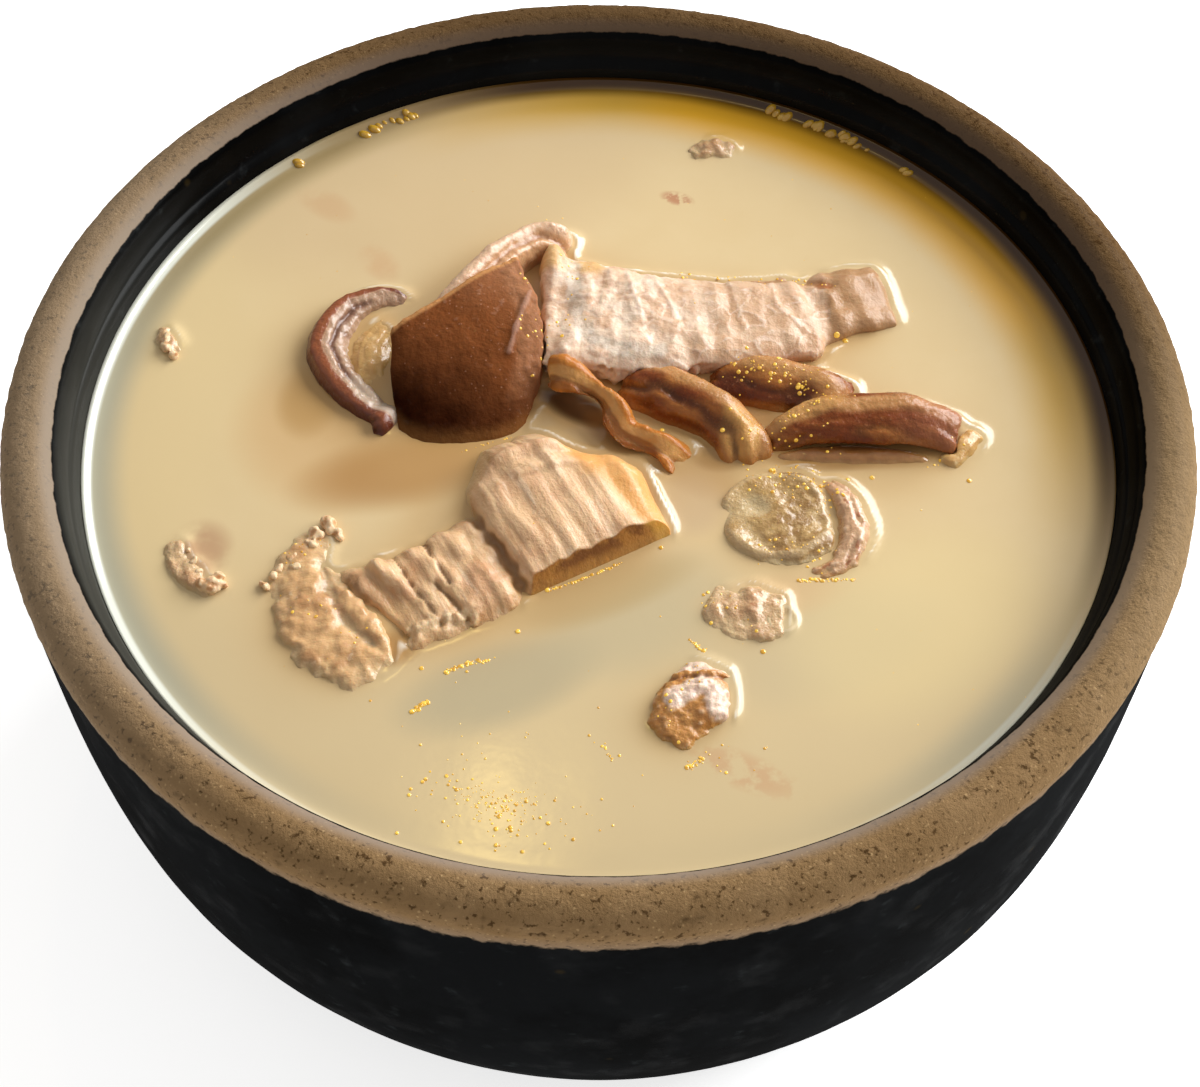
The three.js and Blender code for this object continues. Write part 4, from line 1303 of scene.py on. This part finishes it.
bpy.ops.object.select_all(action="DESELECT")
bpy.ops.mesh.primitive_grid_add(x_subdivisions=BROTH_CELLS, y_subdivisions=BROTH_CELLS, size=2)
broth = bpy.context.object
broth.name = "milky_broth"
shores = []
for vertex in broth.data.vertices:
    x, y = (BROTH_RADIUS * part for part in in_disc(vertex.co.x, vertex.co.y))
    wall = max(0.0, WALL_RADIUS - math.hypot(x, y))
    climb = CLIMB_MM * at(climbing, x, y)
    climb += CLIMB_WALL_MM * math.exp(-wall / CLIMB_REACH_MM) + RIPPLE_MM * grain((x, y, 0), 11, 4)
    ring = math.hypot(x - BUBBLE_PLACE[0], y - BUBBLE_PLACE[1]) - BUBBLE_RADIUS
    climb += BUBBLE_WALL_MM * bell(ring, BUBBLE_WALL_WIDTH_MM)
    vertex.co = (x * MM, y * MM, (SOUP + climb) * MM)
    shores.append((at(around_meat, x, y), at(wide_around, x, y), at(rims, x, y)))
write_down(broth, ("shore", "wide_shore", "rim"), shores)
pick(broth)
bpy.ops.object.mode_set(mode="EDIT")
bpy.ops.mesh.select_mode(type="EDGE")
bpy.ops.mesh.select_all(action="SELECT")
bpy.ops.mesh.region_to_loop()
raise_rings([(BROTH_RADIUS, SOUP + CLIMB_WALL_MM), *BROTH_BELOW])
bpy.ops.mesh.edge_face_add()
round_off()

milk = Recipe("milky_broth")
radius = (milk.x * milk.x + milk.y * milk.y) ** 0.5
wander = milk.cloud(26) - 0.5
wisps = milk.cloud(12, detail=4, rough=0.6)
facing = (milk.x * 0.64 + milk.y * 0.77) / radius
round_right = milk.step(facing, 0.3, 0.8)
# gold is painted shade of the wall along the back right, warmed gold by the oil film, and brown, at the
# wall itself, is a painted reflection of the dark wall.
gold = milk.step(radius + wander * 2.5, 61, 69.5) * round_right
brown = milk.step(radius + wander, 71, 74.5) * milk.step(facing, 0.1, 0.7)
# Along the left wall the broth has a grey band, a painted reflection of the dark wall, and at the wall a
# white line, a painted highlight.
left_wall = milk.step(facing, 0.3, -0.2) * milk.step(milk.y, -75, -40)
# Painted reflection of the dark wall, in the broth near the back left wall.
painted_wall_reflection = milk.step(radius, 67.5, 73.4) * milk.step(facing, 0.6, 0.2) * milk.step(milk.y, 0, 40)
misted = milk.step(wisps, 0.4, 0.6)
bubble_x, bubble_y = milk.x - BUBBLE_PLACE[0], milk.y - BUBBLE_PLACE[1]
bubble = milk.step(((bubble_x * bubble_x + bubble_y * bubble_y) ** 0.5 - BUBBLE_RADIUS) ** 2, 0.1, 0)
milk_tone = milk.layer(
    milk.blend((216, 188, 140), (222, 197, 152), wisps),
    ((222, 196, 146), milk.step(milk.x + wander * 30, -38, -66)),
    # Painted shade: darker towards the front.
    ((212, 188, 144), milk.step(milk.y + wander * 16, -16, -46) * 0.85),
    ((206, 178, 136), milk.spot(-26, 52, 34, 20, 20, 0.7) * 0.6),
    # Painted shadow in front of the slab.
    ((186, 170, 136), milk.spot(-13, -45, 13, 6, 24, 0.8) * 0.9),
    ((188, 174, 140), milk.spot(6, -33, 13, 9, 24, 0.9) * 0.6),
    ((196, 178, 142), milk.spot(30, -38, 17, 8, 20, 0.8) * 0.4),
    ((206, 170, 126), milk.spot(-44.5, 45.8, 5.5, 2.6, -40, 0.9) * misted * 0.8),
    ((208, 170, 126), milk.spot(-35, 32.8, 4.2, 2.4, -50, 0.9) * misted * 0.8),
    ((206, 166, 124), milk.spot(19.4, -58, 7, 2.4, -24, 0.9) * milk.flecks(3, 0.44, 0.6, 4) * 0.8),
    ((182, 118, 84), milk.spot(12.2, 47.6, 2.4, 1.3, -20, 0.9) * milk.flecks(2, 0.4, 0.52, 4) * 0.8),
    ((190, 150, 112), milk.spot(-56, -23.5, 4, 4.6, -10, 0.9) * misted * 0.9),
    ((205, 160, 104), milk.spot(-42, -2, 10, 12, 20, 0.9) * 0.5),
    # Painted shade in front of the fold.
    ((172, 122, 62), milk.spot(-28, -8.4, 14, 6, 16, 0.9) * 0.8),
    ((186, 152, 108), milk.spot(14, -8.6, 7, 3.4, -30, 0.9) * 0.8),
    ((196, 170, 138), milk.spot(13, -14.4, 5, 5, 0, 0.9) * 0.6),
    ((186, 160, 112), milk.spot(1, -30, 12, 3.6, 24, 0.9) * 0.7),
    ((206, 160, 100), milk.spot(-34.4, 13, 4.4, 8, -12, 0.7) * 0.7),
    ((214, 178, 132), milk.spot(24, -30.5, 9, 3.4, 10, 0.9) * 0.6),
    # Painted sheen at the front right.
    ((232, 208, 150), milk.spot(44, -34, 18, 12, 40, 0.9) * 0.4),
    # Painted highlight on the bubble's rim.
    ((232, 210, 172), bubble * 0.55),
    # Partly offal sunk just under the broth, partly painted shade: brown round the ribbon, the lobes and
    # the pointed flap.
    ((178, 122, 74), milk.spot(8.6, 4.2, 5.6, 2.4, -34, 0.8) * 0.75),
    ((92, 48, 20), milk.spot(4.6, 8.4, 4.2, 1.3, -6, 0.7) * 0.85),
    ((150, 92, 48), milk.spot(23, 2.6, 4.6, 2.2, -30, 0.8) * 0.8),
    ((150, 92, 44), milk.spot(37, -4.4, 13, 3.0, 0, 0.7) * 0.75),
    # Painted shadow at the slab's front left corner.
    ((150, 102, 46), milk.spot(-27.4, -39.4, 3.4, 2.6, 30, 0.9) * 0.8),
    ((170, 126, 58), milk.spot(-43.4, 4, 4, 6, 0, 0.9) * 0.6),
    # Partly offal sunk just under the broth, partly painted shade: dark brown below the pointed flap and
    # the left lobe.
    ((100, 60, 24), milk.spot(32.6, -5.8, 7, 2.2, 0, 0.8) * 0.8),
    ((126, 80, 36), milk.spot(17.6, -5.6, 3.6, 2.4, 0, 0.9) * 0.75),
    ((186, 142, 74), milk.step(milk.painted("shore"), 0.05, 1.1) * 0.42),
    ((194, 150, 92), milk.step(milk.painted("wide_shore"), 0.03, 0.9) * 0.4),
    # Partly the fold's sunk underside, partly painted shade: dark brown between the fold, the ribbon and
    # the slab.
    ((60, 24, 6), milk.spot(-3.4, 3.6, 6.4, 2.6, -32, 0.7) * 0.92),
    ((120, 74, 32), milk.spot(2.4, -1.6, 5, 2.4, -40, 0.9) * 0.6),
    # Painted reflection of the dark wall near the left wall.
    ((168, 166, 146), left_wall * milk.step(radius, 68, 73.6) * 0.85),
    # Painted reflection of the dark wall at the back left.
    ((150, 128, 84), painted_wall_reflection * 0.8),
    # Painted shade with the oil's gold, and the dark wall's painted reflection, along the back right.
    (milk.blend((206, 160, 60), (228, 168, 34), milk.step(facing, 0.78, 0.9)), gold * 0.95),
    ((66, 40, 8), brown),
    # Painted highlight: the white rims round the pieces.
    ((252, 246, 232), milk.step(milk.painted("rim"), 0.25, 0.7) * 0.95),
    # Painted highlight: a white line at the left wall.
    ((214, 214, 200), left_wall * milk.step(radius, 73.6, 74.2)),
)
milk.finish(
    base_color=milk_tone,
    roughness=0.14,
    normal=milk.bump(milk.cloud(2.4, detail=2), 0.012),
)
broth.data.materials.append(milk.material)
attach(broth, "root")
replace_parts(broth, "broth")

# ---- Oil and bubbles ----------------------------------------------------------------------------
# Beads of golden oil and small bubbles float on the broth, gather along the wet edges of the
# pieces and cling to their skins. Each is a flattened ball, half sunk in what is under it.
random.seed(11)
surface_tree = tree_of([*meats, broth])


def beads(name, places, flat):
    """Flattened balls of the given (x, y, radius, stretch, turn), all in one piece."""
    bpy.ops.object.select_all(action="DESELECT")
    bpy.ops.mesh.primitive_ico_sphere_add(subdivisions=2, radius=1, location=(0, 0, 0))
    bead = bpy.context.object
    bead.name = name
    shape = bead.data.copy()
    corners, faces = [], []
    for x, y, radius, stretch, turn in places:
        top, up = top_at(surface_tree, x, y)
        if top is None:
            continue
        size = Matrix.Diagonal((radius * stretch * MM, radius * MM, radius * flat * MM, 1))
        slope = up.to_track_quat("Z", "X").to_matrix().to_4x4()
        spin = Matrix.Rotation(math.radians(turn), 4, "Z")
        place = Matrix.Translation(top) @ slope @ spin @ size
        first = len(corners)
        corners += [place @ vertex.co for vertex in shape.vertices]
        faces += [[first + corner for corner in face.vertices] for face in shape.polygons]
    bead.data.clear_geometry()
    bead.data.from_pydata(corners, [], faces)
    bead.data.update()
    pick(bead)
    bpy.ops.object.shade_smooth()
    return bead


def strewn(count, line, stray, low, high):
    """Round beads at random along a line on the plan, most of them small."""
    placed = []
    for _ in range(count):
        run = random.uniform(0, len(line) - 1)
        leg = min(int(run), len(line) - 2)
        (ax, ay), (bx, by) = line[leg], line[leg + 1]
        x = ax + (bx - ax) * (run - leg) + random.gauss(0, stray)
        y = ay + (by - ay) * (run - leg) + random.gauss(0, stray)
        placed.append((x, y, low + (high - low) * random.random() ** 3, 1, 0))
    return placed


# How many beads, the line they lie along, how far they stray, their least and greatest radius.
OIL_TRAILS = [
    (90, [(-21, -60), (-12, -64.5), (-3, -66)], 2.8, 0.1, 0.34),
    (26, [(-25, -50), (-12, -56), (4, -57)], 5, 0.1, 0.24),
    (30, FOLD_RIGHT_EDGE[:3], 1.1, 0.14, 0.36),
    (34, SLICE_BAND, 0.6, 0.14, 0.36),
    (14, [(-5, 31), (-4, 16)], 1.0, 0.14, 0.3),
    (80, [(20, 9.4), (26, 7.6), (33, 5)], 1.3, 0.12, 0.36),
    (26, [(25.6, -3), (31, 1.4), (37, 2.6)], 0.5, 0.12, 0.3),
    (90, [(23, -10.4), (30, -9.6), (33, -14)], 1.9, 0.12, 0.38),
    (30, [(20, -21.6), (27, -22.6), (33, -23)], 1.2, 0.12, 0.32),
    (22, [(20, -2), (26, -3.4), (36, -3.6)], 1.2, 0.12, 0.34),
    (18, [(9, -52), (10.6, -47), (14, -43)], 1.2, 0.12, 0.32),
    (16, [(14, -30.4), (19, -33.4), (24, -36)], 1.6, 0.12, 0.3),
    (14, [(-41, -33), (-36, -36), (-30, -41)], 1.3, 0.12, 0.3),
    (14, [(-44, -26), (-38, -20.4)], 1.0, 0.12, 0.26),
    (10, [(48, -6), (54, -4)], 1.0, 0.12, 0.3),
    (10, [(12, -56), (22, -57)], 1.4, 0.12, 0.28),
    (60, [(-60, 30), (-20, 45), (40, 40), (60, 0), (40, -45), (-50, -40)], 9, 0.06, 0.14),
    # The tight rows that follow are gold dashes that stand for the warm lamp's gleam on wet edges: painted
    # highlights.
    (70, [(-6.9, -29.8), (-2, -27.6), (3.4, -24.8)], 0.07, 0.12, 0.26),
    (70, [(-20.6, -43.4), (-17.4, -41.8), (-14.2, -41)], 0.16, 0.12, 0.32),
    (40, [(-24.4, -49.6), (-22.6, -47.8)], 0.2, 0.14, 0.4),
    (16, [(-21, -5.6), (-17, -3.8), (-13, -2.4)], 0.12, 0.08, 0.2),
    (14, [(1, -54), (2.2, -56.6)], 0.14, 0.1, 0.26),
    (30, [(12, -57.6), (14.4, -56)], 0.2, 0.12, 0.34),
    (30, [(12.6, -37.4), (14.8, -39.6)], 0.16, 0.12, 0.34),
    (50, [(28, -27.6), (36, -27.2)], 0.12, 0.12, 0.32),
    (130, [(-17, -61), (-12, -64), (-8, -62)], 1.7, 0.07, 0.24),
]
LONE_BEADS = [
    (-23.6, -42.6, 0.34), (-10.8, -36.5, 0.38), (8.9, -22.1, 0.34), (-6.9, -29.6, 0.4),
    (18, -2.4, 0.4), (9.3, -0.8, 0.36), (39.6, -9.2, 0.4), (36, -9.8, 0.34),
    (36, 17.4, 0.5), (37.4, 17.2, 0.46), (53.6, -9.6, 0.4), (22.6, -39.4, 0.4),
]
oil_beads = [bead for trail in OIL_TRAILS for bead in strewn(*trail)]
oil_beads += [(*bead, 1, 0) for bead in LONE_BEADS]
oil = beads("golden_oil_beads", oil_beads, flat=0.42)
amber_oil = Recipe("golden_oil")
amber_oil.finish(
    # The oil is golden, and its brighter gold flecks stand partly for the warm lamp's glints; the beads
    # also glow a little, though they are no lamp: painted light.
    base_color=amber_oil.blend((176, 116, 10), (250, 206, 80), amber_oil.flecks(0.7, 0.4, 0.6)),
    roughness=0.08,
    coat_weight=1.0,
    coat_roughness=0.02,
    emission_color=(255, 200, 70),
    emission_strength=0.3,
)
oil.data.materials.append(amber_oil.material)
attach(oil, "root")

# From one turn to the next, in degrees from the back, and how many bubbles lie there.
WALL_BUBBLES = [(-34, -22, 12), (20, 37, 26), (-44, -42, 2), (42, 43, 2)]
BUBBLE_STRETCH = 1.6
wall_bubbles = []
for low, high, count in WALL_BUBBLES:
    for _ in range(count):
        turn = math.radians(random.uniform(low, high))
        out = random.uniform(73.2, 74.3)
        size = random.uniform(0.3, 0.8)
        x, y = out * math.sin(turn), out * math.cos(turn)
        wall_bubbles.append((x, y, size, BUBBLE_STRETCH, -math.degrees(turn)))
bubbles = beads("wall_bubbles", wall_bubbles, flat=0.8)
gilt = Recipe("golden_bubble_skin")
gilt.finish(
    base_color=gilt.blend((170, 116, 14), (232, 186, 60), gilt.cloud(1.2)),
    roughness=0.1,
    coat_weight=1.0,
    coat_roughness=0.02,
)
bubbles.data.materials.append(gilt.material)
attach(bubbles, "root")
